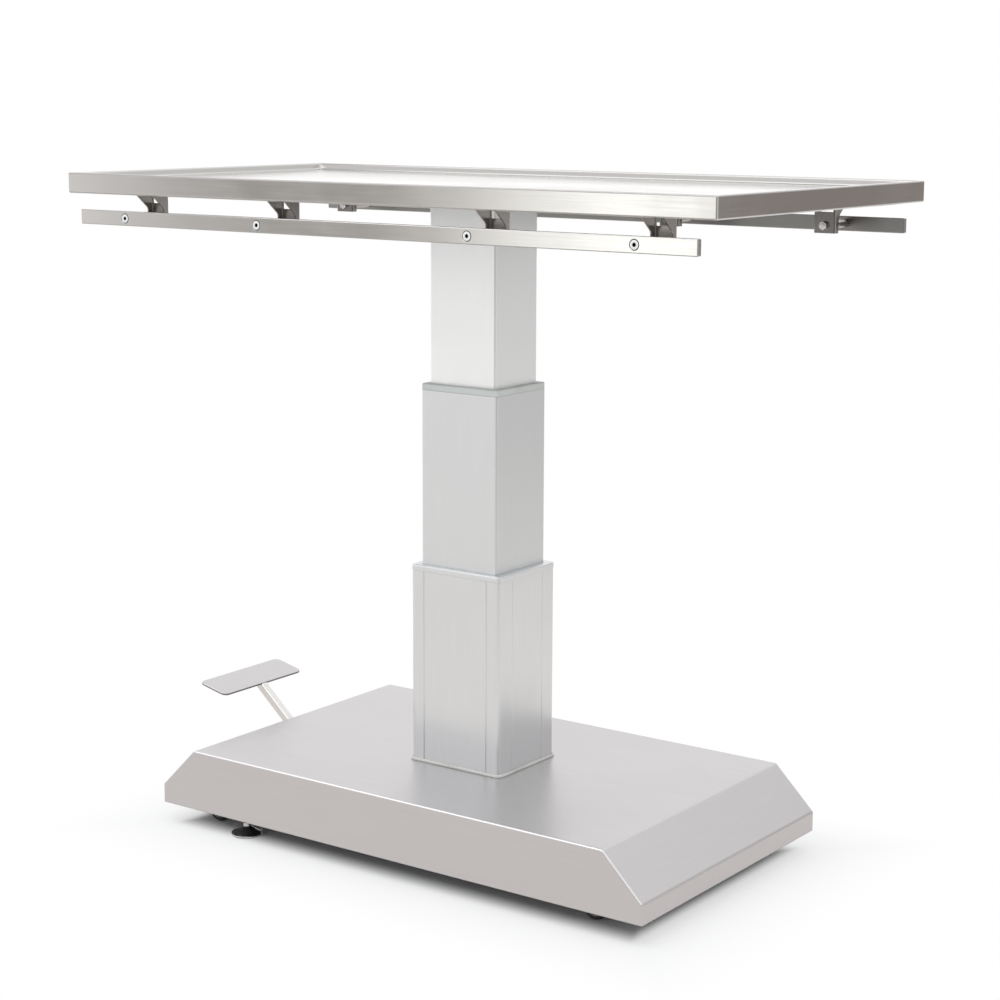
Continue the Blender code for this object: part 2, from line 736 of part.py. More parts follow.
def make_outer_stage(axis):
    end = OUTER_TOP - BEZEL_HEIGHT - GAP
    foot = FLANGE_TOP + GAP
    outlines = [grooved_rectangle(*OUTER_SIZE, OUTER_CORNER)]
    outlines.append(rounded_rectangle(*OUTER_CAVITY, OUTER_CAVITY_CORNER))
    place = (0, 0, (foot + end) / 2)
    column = add_part("outer_column", extruded(outlines, end - foot), ALUMINIUM, axis, place)
    port = along_x(rod(PIPE_RADIUS + GAP, 4 * OUTER_WALL))
    cut(column, port, at(-OUTER_LENGTH / 2, 0, PIPE_HEIGHT))
    crown = ring(grown(OUTER_SIZE, BEZEL_LAND), OUTER_CORNER, grown(MID_SIZE, WIPER_GAP), MID_CORNER,
                 end + GAP, OUTER_TOP)
    bezel = add_part("outer_bezel", round_top(crown, BEZEL_EDGE, 2), ALUMINIUM, axis)
    guide = ring(grown(OUTER_CAVITY, -GAP), OUTER_CAVITY_CORNER, grown(MID_SIZE, GAP), MID_CORNER,
                 end - GUIDE_HEIGHT, OUTER_TOP - WIPER_DEPTH)
    join(bezel, guide)
    bead = ring(grown(OUTER_SIZE, SEAL_WIDTH), OUTER_CORNER + SEAL_WIDTH, grown(OUTER_SIZE, GAP),
                OUTER_CORNER, BASE_HEIGHT + GAP, BASE_HEIGHT + SEAL_HEIGHT)
    add_part("foot_seal", round_top(bead, SEAL_EDGE, 2), SEALANT, axis)


def make_mid_stage(axis):
    end = MID_TOP - COLLAR_HEIGHT - GAP
    column = ring(MID_SIZE, MID_CORNER, MID_CAVITY, MID_CAVITY_CORNER, MID_BOTTOM, end)
    add_part("mid_column", column, COLUMN_WHITE, axis)
    crown = ring(MID_SIZE, MID_CORNER, grown(TOP_SIZE, WIPER_GAP), TOP_CORNER, end + GAP, MID_TOP)
    collar = add_part("mid_collar", round_top(crown, COLLAR_EDGE, 1), COLLAR_GREY, axis)
    guide = ring(grown(MID_CAVITY, -GAP), MID_CAVITY_CORNER, grown(TOP_SIZE, GAP), TOP_CORNER,
                 end - GUIDE_HEIGHT, MID_TOP - WIPER_DEPTH)
    join(collar, guide)
    foot = ring(grown(OUTER_CAVITY, -GAP), OUTER_CAVITY_CORNER, grown(MID_SIZE, GAP), MID_CORNER,
                MID_BOTTOM, MID_BOTTOM + GUIDE_HEIGHT)
    add_part("mid_guide", foot, GUIDE_PLASTIC, axis)


def make_top_stage(axis):
    column = ring(TOP_SIZE, TOP_CORNER, TOP_CAVITY, TOP_CAVITY_CORNER, TOP_BOTTOM, HEAD_BOTTOM - GAP)
    add_part("top_column", column, COLUMN_WHITE, axis)
    foot = ring(grown(MID_CAVITY, -GAP), MID_CAVITY_CORNER, grown(TOP_SIZE, GAP), TOP_CORNER,
                TOP_BOTTOM, TOP_BOTTOM + GUIDE_HEIGHT)
    add_part("top_guide", foot, GUIDE_PLASTIC, axis)


def cylinder_cup(radius, length):
    """A blind hydraulic cylinder that stands on z = 0."""
    bore = radius - RAM_WALL
    profile = [(0, RAM_FLOOR), (bore, RAM_FLOOR), (bore, length), (radius, length), (radius, 0), (0, 0)]
    return turned(profile)


def make_ram(base, mid, top):
    foot = FLANGE_TOP + GAP
    sleeve_radius = RAM_RADIUS - RAM_WALL - RAM_CLEARANCE
    rod_radius = sleeve_radius - RAM_WALL - RAM_CLEARANCE
    sleeve_foot = foot + RAM_BARREL_LENGTH - RAM_OVERLAP
    rod_foot = sleeve_foot + RAM_SLEEVE_LENGTH - RAM_OVERLAP
    rod_length = HEAD_BOTTOM - GAP - rod_foot
    barrel = cylinder_cup(RAM_RADIUS, RAM_BARREL_LENGTH)
    sleeve = cylinder_cup(sleeve_radius, RAM_SLEEVE_LENGTH)
    piston_rod = rod(rod_radius, rod_length, ROUND_STEPS)
    add_part("ram_barrel", barrel, PAINTED_STEEL, base, (0, 0, foot))
    add_part("ram_sleeve", sleeve, HARD_CHROME, mid, (0, 0, sleeve_foot))
    add_part("ram_rod", piston_rod, HARD_CHROME, top, (0, 0, rod_foot + rod_length / 2))


def slope_point(angle):
    """Where the lever's line, at this angle, crosses the sloping end of the cover."""
    rise = (BASE_HEIGHT - LIP_TOP) / BASE_SLOPE
    from_end = PIVOT_INSET - (LIP_TOP + rise * PIVOT_INSET - PIVOT.z) / (rise + math.tan(angle))
    return Vector((-BASE_LENGTH / 2 + from_end, 0, LIP_TOP + rise * from_end))


def cover_mesh():
    """The cover's outside: upright sides and lip, sloping ends, open below."""
    work = bmesh.new()
    height = BASE_HEIGHT - BASE_CLEARANCE
    size = Matrix.Diagonal((BASE_LENGTH, BASE_WIDTH, height, 1))
    bmesh.ops.create_cube(work, size=1, matrix=at(0, 0, BASE_CLEARANCE + height / 2) @ size)
    below = [face for face in work.faces if face.normal.z < -0.5]
    bmesh.ops.delete(work, geom=below, context="FACES_ONLY")
    whole = work.verts[:] + work.edges[:] + work.faces[:]
    bmesh.ops.bisect_plane(work, geom=whole, plane_co=(0, 0, LIP_TOP), plane_no=(0, 0, 1))
    for vert in work.verts:
        if vert.co.z > LIP_TOP + GAP:
            vert.co.x -= math.copysign(BASE_SLOPE, vert.co.x)
    mesh = bpy.data.meshes.new("base_cover")
    work.to_mesh(mesh)
    work.free()
    return smooth(mesh)


def make_base_cover(axis):
    cover = add_part("base_cover", cover_mesh(), STAINLESS, axis)
    soften(cover, BASE_BEND, 3)
    fold(cover, BASE_SHEET)
    opening = rounded_rectangle(*grown(OUTER_SIZE, COLUMN_OPENING_GAP), OUTER_CORNER)
    cut(cover, extruded([opening], 10 * BASE_SHEET), at(0, 0, BASE_HEIGHT))
    rest = slope_point(LEVER_ANGLE)
    pressed = slope_point(LEVER_ANGLE - PEDAL_TRAVEL)
    length = (rest - pressed).length + LEVER_THICKNESS + 2 * SLOT_CLEARANCE
    width = LEVER_WIDTH + 2 * SLOT_CLEARANCE
    slot = extruded([rounded_rectangle(length, width, SLOT_CLEARANCE)], 10 * BASE_SHEET)
    tilt = Matrix.Rotation(-math.atan2(rest.z - pressed.z, rest.x - pressed.x), 4, "Y")
    cut(cover, slot, Matrix.Translation((rest + pressed) / 2) @ tilt)


def make_base_plate(axis):
    length = BASE_LENGTH - 2 * (BASE_SHEET + PLATE_END_GAP)
    width = BASE_WIDTH - 2 * (BASE_SHEET + GAP)
    outline = rounded_rectangle(length, width, PLATE_END_GAP)
    middle = PLATE_BOTTOM + PLATE_THICKNESS / 2
    plate = add_part("base_plate", extruded([outline], PLATE_THICKNESS), PAINTED_STEEL, axis, (0, 0, middle))
    pin_hole = rod(KINGPIN_RADIUS + GAP, 2 * PLATE_THICKNESS)
    stud_hole = rod(FOOT_STUD_RADIUS + GAP, 2 * PLATE_THICKNESS)
    pin_holes = repeated(pin_hole, [at(x, y, middle) for x, y in CASTORS])
    stud_holes = repeated(stud_hole, [at(x, y, middle) for x, y in FEET])
    cut(plate, merged([pin_holes, stud_holes]))
    size = grown(OUTER_SIZE, FLANGE_MARGIN)
    place = (0, 0, FLANGE_TOP - FLANGE_THICKNESS / 2)
    add_part("column_flange", block(*size, FLANGE_THICKNESS), PAINTED_STEEL, axis, place)


def pedal_frame():
    """The middle of the pedal's underside: local X runs towards the table, Z out of the tread."""
    stem = Vector((-math.cos(LEVER_ANGLE), 0, math.sin(LEVER_ANGLE))) * STEM_LENGTH
    tilt = Matrix.Rotation(PEDAL_TILT, 4, "Y")
    return Matrix.Translation(PIVOT + stem) @ tilt @ at(PEDAL_OVERHANG - PEDAL_LENGTH / 2, 0, 0)


def stem_mesh():
    """The lever's stem from its pivot up, cut off level with the tread."""
    length = 2 * STEM_LENGTH
    lean = Matrix.Rotation(LEVER_ANGLE - math.pi / 2, 4, "Y")
    stem = block(LEVER_THICKNESS, LEVER_WIDTH, length)
    moved(stem, Matrix.Translation(PIVOT) @ lean @ at(0, 0, length / 2))
    work = bmesh.new()
    work.from_mesh(stem)
    under = pedal_frame()
    tread = under @ Vector((0, 0, GAP + PEDAL_THICKNESS))
    whole = work.verts[:] + work.edges[:] + work.faces[:]
    normal = under.to_3x3() @ Vector((0, 0, 1))
    bmesh.ops.bisect_plane(work, geom=whole, plane_co=tread, plane_no=normal, clear_outer=True)
    bmesh.ops.holes_fill(work, edges=[edge for edge in work.edges if edge.is_boundary])
    bmesh.ops.recalc_face_normals(work, faces=work.faces)
    work.to_mesh(stem)
    work.free()
    return stem


def make_pedal(axis):
    tread = extruded([rounded_rectangle(PEDAL_LENGTH, PEDAL_WIDTH, PEDAL_CORNER)], PEDAL_THICKNESS)
    place = pedal_frame() @ at(0, 0, GAP + PEDAL_THICKNESS / 2)
    plate = add_part("pedal_plate", tread, STAINLESS, axis, place.translation, place.to_euler())
    soften(plate, LEVER_EDGE, 1)
    stem = moved(stem_mesh(), Matrix.Translation(-PIVOT))
    lever = add_part("pedal_lever", stem, STAINLESS, axis, PIVOT)
    soften(lever, LEVER_EDGE, 1)
    here = Matrix.Translation(PIVOT)
    join(lever, along_y(rod(HUB_RADIUS, HUB_LENGTH, ROUND_STEPS)), here)
    hang = Matrix.Rotation(ARM_LEAN, 4, "Y") @ at(0, 0, -ARM_LENGTH / 2)
    join(lever, block(LEVER_THICKNESS, LEVER_WIDTH, ARM_LENGTH), here @ hang)
    cut(lever, along_y(rod(SHAFT_RADIUS + GAP, 2 * HUB_LENGTH)), here)
    seat = block(PEDAL_LENGTH + 2 * GAP, PEDAL_WIDTH, 4 * PEDAL_THICKNESS)
    cut(lever, seat, pedal_frame() @ at(0, 0, 2 * PEDAL_THICKNESS))
    shaft = along_y(rod(SHAFT_RADIUS, CLEVIS_WIDTH + 2 * SHAFT_END))
    add_part("pedal_shaft", shaft, HARD_CHROME, axis, PIVOT)


def make_pedal_clevis(axis):
    """The block that carries the pedal's shaft between two ears."""
    drop = PIVOT_HEIGHT - GAP
    outline = arc((0, 0), CLEVIS_RADIUS, 0, math.pi, 2 * CORNER_STEPS)
    outline += [(-CLEVIS_RADIUS, -drop), (CLEVIS_RADIUS, -drop)]
    saddle = along_y(extruded([outline, circle(SHAFT_RADIUS + GAP)], CLEVIS_WIDTH))
    clevis = add_part("pedal_clevis", saddle, PUMP_IRON, axis, PIVOT)
    room = block(4 * CLEVIS_RADIUS, CLEVIS_WIDTH - 2 * CLEVIS_THICKNESS, 2 * drop)
    cut(clevis, room, Matrix.Translation(PIVOT) @ at(0, 0, CLEVIS_FLOOR))
    add_part("return_spring", spring_mesh(), BOLT_STEEL, axis, PIVOT)


def spring_mesh():
    """A torsion spring round the shaft, beside the hub, with two straight legs."""
    per_turn = 8
    radius = (SHAFT_RADIUS + GAP + SPRING_WIRE / 2) / math.cos(math.pi / per_turn)
    start = HUB_LENGTH / 2 + SPRING_END_GAP + SPRING_WIRE / 2
    points = []
    for i in range(SPRING_TURNS * per_turn + 1):
        turn = 2 * math.pi * i / per_turn
        along = start + SPRING_PITCH * i / per_turn
        points.append(Vector((radius * math.cos(turn), along, radius * math.sin(turn))))
    points.insert(0, points[0] - Vector((0, 0, SPRING_LEG)))
    points.append(points[-1] + Vector((0, 0, SPRING_LEG)))
    return tube(points, SPRING_WIRE / 2)


def make_pump(base, plunger_axis):
    place = ((PUMP_FRONT + PUMP_BACK) / 2, 0, PIPE_HEIGHT)
    body = add_part("pump_body", block(PUMP_LENGTH, PUMP_WIDTH, PUMP_HEIGHT), PUMP_IRON, base, place)
    soften(body, PUMP_EDGE, 1)
    bore = along_x(rod(PLUNGER_RADIUS + GAP, 2 * PLUNGER_BORE, ROUND_STEPS))
    cut(body, bore, at(PUMP_FRONT, 0, PLUNGER_Z))
    length = PLUNGER_EXPOSED + PLUNGER_SEATED
    profile = arc((0, 0), PLUNGER_RADIUS, math.pi / 2, 0, CORNER_STEPS)
    profile += [(PLUNGER_RADIUS, -length), (0, -length)]
    plunger = moved(turned(profile), Matrix.Rotation(-math.pi / 2, 4, "Y"))
    add_part("pump_plunger", plunger, HARD_CHROME, plunger_axis, (PLUNGER_TIP, 0, PLUNGER_Z))


def make_oil_circuit(axis):
    tank_x = (PUMP_FRONT + PUMP_BACK) / 2
    tank_y = PUMP_WIDTH / 2 + RESERVOIR_OFFSET + RESERVOIR_WIDTH / 2
    tank_foot = PLATE_TOP + GAP
    tank = block(RESERVOIR_LENGTH, RESERVOIR_WIDTH, RESERVOIR_HEIGHT)
    place = (tank_x, tank_y, tank_foot + RESERVOIR_HEIGHT / 2)
    tank = add_part("oil_reservoir", tank, PAINTED_STEEL, axis, place)
    soften(tank, RESERVOIR_EDGE, 2)
    filler = rod(FILLER_RADIUS, 2 * FILLER_HEIGHT, ROUND_STEPS)
    join(tank, filler, at(tank_x, tank_y, tank_foot + RESERVOIR_HEIGHT))
    suction = along_y(rod(PIPE_RADIUS, RESERVOIR_OFFSET - 2 * GAP))
    place = (tank_x, PUMP_WIDTH / 2 + RESERVOIR_OFFSET / 2, PIPE_HEIGHT)
    add_part("suction_pipe", suction, ZINC, axis, place)
    start = PUMP_BACK + GAP
    end = -RAM_RADIUS - GAP
    pressure = along_x(rod(PIPE_RADIUS, end - start))
    add_part("pressure_pipe", pressure, ZINC, axis, ((start + end) / 2, 0, PIPE_HEIGHT))


def fork_mesh():
    """A castor fork about its swivel axis, with its axle behind it at -X. z = 0 is the floor."""
    boss = (-CASTOR_TRAIL, WHEEL_RADIUS)
    outline = [(-FORK_CROWN, CROWN_TOP), (FORK_CROWN, CROWN_TOP), (FORK_CROWN, WELL_TOP)]
    outline += arc(boss, FORK_BOSS, -math.pi / 4, -math.pi, CORNER_STEPS)
    room = WHEEL_WIDTH + 2 * FORK_SIDE_GAP
    width = room + 2 * FORK_SHEET
    fork = scratch(along_y(extruded([outline], width)))
    cut(fork, block(4 * (CASTOR_TRAIL + FORK_CROWN), room, 2 * WELL_TOP))
    cut(fork, along_y(rod(AXLE_RADIUS + GAP, 2 * width)), at(-CASTOR_TRAIL, 0, WHEEL_RADIUS))
    top = PLATE_TOP - GAP
    root = (WELL_TOP + CROWN_TOP) / 2
    profile = [(0, top), (KINGPIN_RADIUS, top), (KINGPIN_RADIUS, CASTOR_HEIGHT)]
    profile += [(SWIVEL_RADIUS, CASTOR_HEIGHT), (SWIVEL_RADIUS, root), (0, root)]
    join(fork, turned(profile))
    return smooth(baked(fork))


def wheel_mesh():
    half = WHEEL_WIDTH / 2
    shoulder = WHEEL_RADIUS - WHEEL_EDGE
    bore = AXLE_RADIUS + GAP
    rim = WHEEL_RADIUS - WHEEL_TYRE
    profile = [(bore, half - WHEEL_DISH), (rim, half - WHEEL_DISH), (rim, half), (shoulder, half)]
    profile.append((WHEEL_RADIUS, half - WHEEL_EDGE))
    profile += [(radius, -z) for radius, z in reversed(profile)]
    return along_y(turned(profile, closed=True))


def axle_mesh():
    half = WHEEL_WIDTH / 2 + FORK_SIDE_GAP + FORK_SHEET + GAP
    end = half + AXLE_HEAD
    profile = [(0, end), (AXLE_HEAD_RADIUS, end), (AXLE_HEAD_RADIUS, half), (AXLE_RADIUS, half)]
    profile += [(radius, -z) for radius, z in reversed(profile)]
    return along_y(turned(profile, BORE_STEPS))


def make_castors(base):
    fork = fork_mesh()
    wheel = wheel_mesh()
    axle = axle_mesh()
    for number, (x, y) in enumerate(CASTORS, 1):
        hub = (x - CASTOR_TRAIL, y, WHEEL_RADIUS)
        swivel = add_axis(f"castor_swivel_{number}", (x, y, CASTOR_HEIGHT), base)
        roll = add_axis(f"castor_roll_{number}", hub, swivel)
        add_part(f"castor_fork_{number}", fork, ZINC, swivel, (x, y, 0))
        add_part(f"castor_axle_{number}", axle, BOLT_STEEL, swivel, hub)
        add_part(f"castor_wheel_{number}", wheel, WHEEL_RUBBER, roll, hub)


def foot_mesh():
    """A cone foot with a lip and its stud, standing on z = 0."""
    top = PLATE_TOP + FOOT_STUD_SPARE
    lip = FOOT_RADIUS - FOOT_LIP
    profile = [(0, top), (FOOT_STUD_RADIUS, top), (FOOT_STUD_RADIUS, FOOT_CONE), (FOOT_NECK, FOOT_CONE)]
    profile += [(lip, FOOT_RIM), (FOOT_RADIUS, FOOT_RIM - FOOT_LIP), (FOOT_RADIUS, 0), (0, 0)]
    return turned(profile)


def make_feet(base):
    foot = foot_mesh()
    for number, (x, y) in enumerate(FEET, 1):
        thread = add_axis(f"foot_thread_{number}", (x, y, PLATE_BOTTOM), base)
        add_part(f"levelling_foot_{number}", foot, HARD_CHROME, thread, (x, y, 0))


def main():
    base = add_axis("table_base", (0, 0, 0))
    mid = add_axis("mid_stage_slide", (0, 0, OUTER_TOP), base)
    top = add_axis("top_stage_slide", (0, 0, MID_TOP), mid)
    pedal = add_axis("pedal_pivot", PIVOT, base)
    plunger = add_axis("plunger_slide", (PUMP_FRONT, 0, PLUNGER_Z), base)
    make_tray(top)
    make_table_frame(top)
    make_head_plate(top)
    make_rails(top)
    make_brackets(top)
    make_rail_bolts(top)
    make_outer_stage(base)
    make_mid_stage(mid)
    make_top_stage(top)
    make_ram(base, mid, top)
    make_base_cover(base)
    make_base_plate(base)
    make_pedal(pedal)
    make_pedal_clevis(base)
    make_pump(base, plunger)
    make_oil_circuit(base)
    make_castors(base)
    make_feet(base)


main()
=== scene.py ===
# %% [markdown]
# # A veterinary surgery table, dressed for the camera
# The table is a stainless tray on a three-stage column, and a foot pump in its base raises it.
# The engineering model already has the right shapes, so it is loaded as a fixed frame, and this
# lesson gives it finishes, a few finer pieces, a studio and a camera.

import math

import bmesh
import bpy
from mathutils import Matrix, Vector


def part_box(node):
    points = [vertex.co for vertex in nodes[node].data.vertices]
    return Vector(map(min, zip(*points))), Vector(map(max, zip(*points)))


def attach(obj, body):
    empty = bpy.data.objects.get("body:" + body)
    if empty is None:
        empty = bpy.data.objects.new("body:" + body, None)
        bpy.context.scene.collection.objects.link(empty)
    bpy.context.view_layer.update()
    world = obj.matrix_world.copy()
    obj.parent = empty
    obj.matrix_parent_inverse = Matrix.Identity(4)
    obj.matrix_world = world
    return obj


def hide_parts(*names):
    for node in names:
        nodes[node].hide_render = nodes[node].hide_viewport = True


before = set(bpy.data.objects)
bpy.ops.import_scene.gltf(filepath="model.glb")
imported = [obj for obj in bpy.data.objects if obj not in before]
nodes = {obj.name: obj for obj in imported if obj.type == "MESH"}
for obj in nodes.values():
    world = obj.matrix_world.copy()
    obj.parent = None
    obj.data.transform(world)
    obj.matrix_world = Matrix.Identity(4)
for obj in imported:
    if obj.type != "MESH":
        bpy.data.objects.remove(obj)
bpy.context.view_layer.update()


def middle(box):
    return (Vector(box[0]) + Vector(box[1])) / 2


def extent(box):
    return Vector(box[1]) - Vector(box[0])


# %% [markdown]
# ## The camera
# The photograph was taken from a little above the tray, with a long lens, turned about 36 degrees
# from the table's long side. A camera can be placed by eye, but its direction and focal length were
# fitted to the table's corners, so the picture lines up without any shift.

# %% Camera
azimuth = math.radians(35.8433)
pitch = math.radians(10.602)
roll = math.radians(0.2023)
focal_pixels = 2193.69
image_width = 1000
sensor_width = 36
camera_place = (2.2111, -3.0115, 1.3072)

level = math.cos(pitch)
forward = Vector((-math.sin(azimuth) * level, math.cos(azimuth) * level, -math.sin(pitch)))
level_right = Vector((math.cos(azimuth), math.sin(azimuth), 0))
level_up = level_right.cross(forward)
camera_right = math.cos(roll) * level_right + math.sin(roll) * level_up
camera_up = math.cos(roll) * level_up - math.sin(roll) * level_right

lens = bpy.data.cameras.new("photo_camera")
lens.sensor_fit = "HORIZONTAL"
lens.sensor_width = sensor_width
lens.lens = focal_pixels * sensor_width / image_width
camera = bpy.data.objects.new("photo_camera", lens)
bpy.context.scene.collection.objects.link(camera)
turn = Matrix((camera_right, camera_up, -forward)).transposed()
camera.matrix_world = Matrix.Translation(camera_place) @ turn.to_4x4()
bpy.context.scene.camera = camera
print("camera lens", round(lens.lens, 2), "mm")

# %% [markdown]
# ## Small tools for shader nodes
# Every finish below is a tree of nodes. Setting up a node takes several lines in Python, so one
# helper makes a node, sets its options, and fills each input with a value or a link. The others
# wrap the nodes that come up most: arithmetic, ranges, soft steps, noise and mixed colours.

# %% Node helpers
def feed(tree, socket, value):
    """Links a socket to an input, or sets the input's own value."""
    if isinstance(value, bpy.types.NodeSocket):
        tree.links.new(value, socket)
    else:
        socket.default_value = value


def add_node(tree, kind, inputs=None, **settings):
    node = tree.nodes.new(kind)
    for name, value in settings.items():
        setattr(node, name, value)
    for name, value in (inputs or {}).items():
        feed(tree, node.inputs[name], value)
    return node


def math_node(tree, operation, first, second):
    return add_node(tree, "ShaderNodeMath", {0: first, 1: second}, operation=operation).outputs[0]


def absolute(tree, value):
    return math_node(tree, "ABSOLUTE", value, 0)


def times(tree, *values):
    product = values[0]
    for value in values[1:]:
        product = math_node(tree, "MULTIPLY", product, value)
    return product


def vector_node(tree, operation, first, second):
    return add_node(tree, "ShaderNodeVectorMath", {0: first, 1: second}, operation=operation).outputs[0]


def dot_node(tree, first, second):
    inputs = {0: first, 1: second}
    return add_node(tree, "ShaderNodeVectorMath", inputs, operation="DOT_PRODUCT").outputs["Value"]


def axes_of(tree, vector):
    return add_node(tree, "ShaderNodeSeparateXYZ", {"Vector": vector}).outputs


print("node helpers ready")


# %% Mask helpers
def span(tree, mask, low, high):
    """Reads a 0 to 1 mask as a range of numbers."""
    limits = {"Value": mask, "To Min": low, "To Max": high}
    return add_node(tree, "ShaderNodeMapRange", limits).outputs[0]


def window(tree, value, start, end):
    """0 below start, 1 above end, smooth between."""
    limits = {"Value": value, "From Min": start, "From Max": end}
    return add_node(tree, "ShaderNodeMapRange", limits, interpolation_type="SMOOTHSTEP").outputs[0]


def within(tree, value, start, end):
    """1 up to start, 0 from end on, smooth between."""
    return math_node(tree, "SUBTRACT", 1, window(tree, value, start, end))


def noise(tree, place, scale, detail):
    inputs = {"Vector": place, "Scale": scale, "Detail": detail}
    return add_node(tree, "ShaderNodeTexNoise", inputs).outputs[0]


def mix_colour(tree, mask, below, above):
    node = add_node(tree, "ShaderNodeMix", {"Factor": mask}, data_type="RGBA")
    for socket, value in ((node.inputs[6], below), (node.inputs[7], above)):
        feed(tree, socket, value if isinstance(value, bpy.types.NodeSocket) else (*value, 1))
    return node.outputs[2]


print("mask helpers ready")

# %% [markdown]
# ## The studio
# The photograph shows the table on white, with only a soft shadow under the base. Metal is mostly
# reflection, so what stands around the set matters more than the lamps. A photographer hangs grey
# cloths and white boards round a pale room, and each face of the metal then shows a different grey.
# They could be real sheets, but those would stand in the way of other cameras, so they are soft
# patches of the room that only reflections see. The camera and glass see plain white.

# %% World
world = bpy.data.worlds.new("studio")
bpy.context.scene.world = world
world.use_nodes = True
sky = world.node_tree
sky.nodes.clear()
direction = add_node(sky, "ShaderNodeTexCoord").outputs["Generated"]
rise = axes_of(sky, direction)["Z"]
height = absolute(sky, rise)


def beyond(heading, start, end):
    """A soft mask for the directions of the room that reach far enough along a level heading."""
    return window(sky, dot_node(sky, direction, heading), start, end)


print("world", world.name)

# %% [markdown]
# ### What the metal reflects
# Each patch is a range of directions with soft edges. A grey cloth, a white board and a dark cloth
# hang side by side in front of the table's long side, and the tray and rail show them as bands. A
# bright board stands behind, a ring of lamps hangs overhead, and a pale flag with a dark strip stands
# to the back right, which makes the end of the tray darker than its long side. The room is also
# darker where the photographer stands, which draws a thin line down the near corners of the column.

# %% Patches of the room
front_heading = (-0.549, -0.836, 0)
front_sideways = (-0.836, 0.549, 0)
back_heading = (-0.58, 0.81, 0)
right_heading = (0.75, 0.66, 0)
strip_heading = (0.462, 0.887, 0)
strip_sideways = (0.887, -0.462, 0)
photographer_heading = (0.585, -0.811, 0)
white_to_grey = (-0.03, 0.10)
dark_to_white = (-0.069, -0.063)

front = beyond(front_heading, 0.2, 0.5)
sideways = dot_node(sky, direction, front_sideways)
grey_cloth = times(sky, front, window(sky, sideways, *white_to_grey), within(sky, sideways, 0.145, 0.28),
                   within(sky, height, 0.12, 0.20))
white_board = times(sky, front, window(sky, sideways, *dark_to_white), within(sky, sideways, *white_to_grey),
                    within(sky, rise, 0.06, 0.12))
dark_cloth = times(sky, front, within(sky, sideways, *dark_to_white), window(sky, sideways, -0.20, -0.14),
                   within(sky, height, 0.12, 0.25))
back_board = times(sky, beyond(back_heading, 0.5, 0.8), within(sky, height, 0.10, 0.18))
lamp_ring = times(sky, window(sky, rise, 0.62, 0.74), within(sky, rise, 0.84, 0.93))
right_flag = times(sky, beyond(right_heading, 0.25, 0.85), within(sky, height, 0.20, 0.70))
from_strip = absolute(sky, dot_node(sky, direction, strip_sideways))
dark_strip = times(sky, beyond(strip_heading, 0, 0.3), within(sky, from_strip, 0.07, 0.13),
                   within(sky, height, 0.15, 0.40))
photographer_side = times(sky, beyond(photographer_heading, 0.66, 0.86), within(sky, height, 0.30, 0.60))
print("patches ready")

# %% Colours of the room
plain_white = (1, 1, 1)
pale_room = (1.06, 1.045, 1.06)
lighting_room = (0.9, 0.9, 0.9)
patches = (
    (right_flag, (0.75, 0.745, 0.745)), (photographer_side, (0.42, 0.41, 0.40)),
    (lamp_ring, (1.45, 1.45, 1.45)), (back_board, (1.25, 1.25, 1.25)),
    (grey_cloth, (0.40, 0.38, 0.36)), (white_board, (1.72, 1.72, 1.67)),
    (dark_cloth, (0.36, 0.335, 0.32)), (dark_strip, (0.285, 0.255, 0.24)))
reflected = pale_room
for patch, patch_colour in patches:
    reflected = mix_colour(sky, patch, reflected, patch_colour)
path = add_node(sky, "ShaderNodeLightPath").outputs
seen = math_node(sky, "MAXIMUM", path["Is Camera Ray"], path["Is Transmission Ray"])
room = mix_colour(sky, path["Is Glossy Ray"], lighting_room, reflected)
surroundings = mix_colour(sky, seen, room, plain_white)
background = add_node(sky, "ShaderNodeBackground", {"Color": surroundings, "Strength": 1})
add_node(sky, "ShaderNodeOutputWorld", {"Surface": background.outputs[0]})
print("room with", len(patches), "patches")

# %% [markdown]
# ## The floor
# The table stands on a sheet of pale paper. Paper that takes all the light would be grey out to its
# edge, and paper that is plain white would lose the shadow. So under the base it is matt and takes
# the real shadow, and around the base it fades to plain white, tighter at the ends than along the
# sides, as in the photograph. Only the camera, glass and reflections see that white.

# %% Floor
floor_radius = 3.0
floor_sides = 64
floor_drop = 0.0004
floor_mesh = bpy.data.meshes.new("floor")
disc = bmesh.new()
bmesh.ops.create_circle(disc, cap_ends=True, segments=floor_sides, radius=floor_radius)
disc.to_mesh(floor_mesh)
disc.free()
floor = bpy.data.objects.new("floor", floor_mesh)
floor.location.z = -floor_drop
bpy.context.scene.collection.objects.link(floor)
print("floor", 2 * floor_radius, "m across")

# %% Paper
contact_start = -0.06
contact_end = 0.008
end_tightness = 2.0
end_shift = 0.045
shadow_start = -0.08
shadow_end = 0.20
shadow_share = 0.45
paper_colour = (0.82, 0.83, 0.84, 1)
reflected_paper = (0.91, 0.87, 0.845)
base_half = extent(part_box("base_cover")) / 2

paper = bpy.data.materials.new("paper_sweep")
paper.use_nodes = True
sheet = paper.node_tree
sheet.nodes.clear()
place = add_node(sheet, "ShaderNodeTexCoord").outputs["Object"]
spread = add_node(sheet, "ShaderNodeVectorMath", {0: place}, operation="ABSOLUTE").outputs[0]
from_base = axes_of(sheet, vector_node(sheet, "SUBTRACT", spread, base_half))
from_end = math_node(sheet, "ADD", times(sheet, from_base["X"], end_tightness), end_shift)
from_contact = math_node(sheet, "MAXIMUM", from_end, from_base["Y"])
from_shadow = math_node(sheet, "MAXIMUM", from_base["X"], from_base["Y"])
outside = window(sheet, from_contact, contact_start, contact_end)
lit = span(sheet, window(sheet, from_shadow, shadow_start, shadow_end), 1 - shadow_share, 1)
path = add_node(sheet, "ShaderNodeLightPath").outputs
seen = math_node(sheet, "MAXIMUM", path["Is Camera Ray"], path["Is Transmission Ray"])
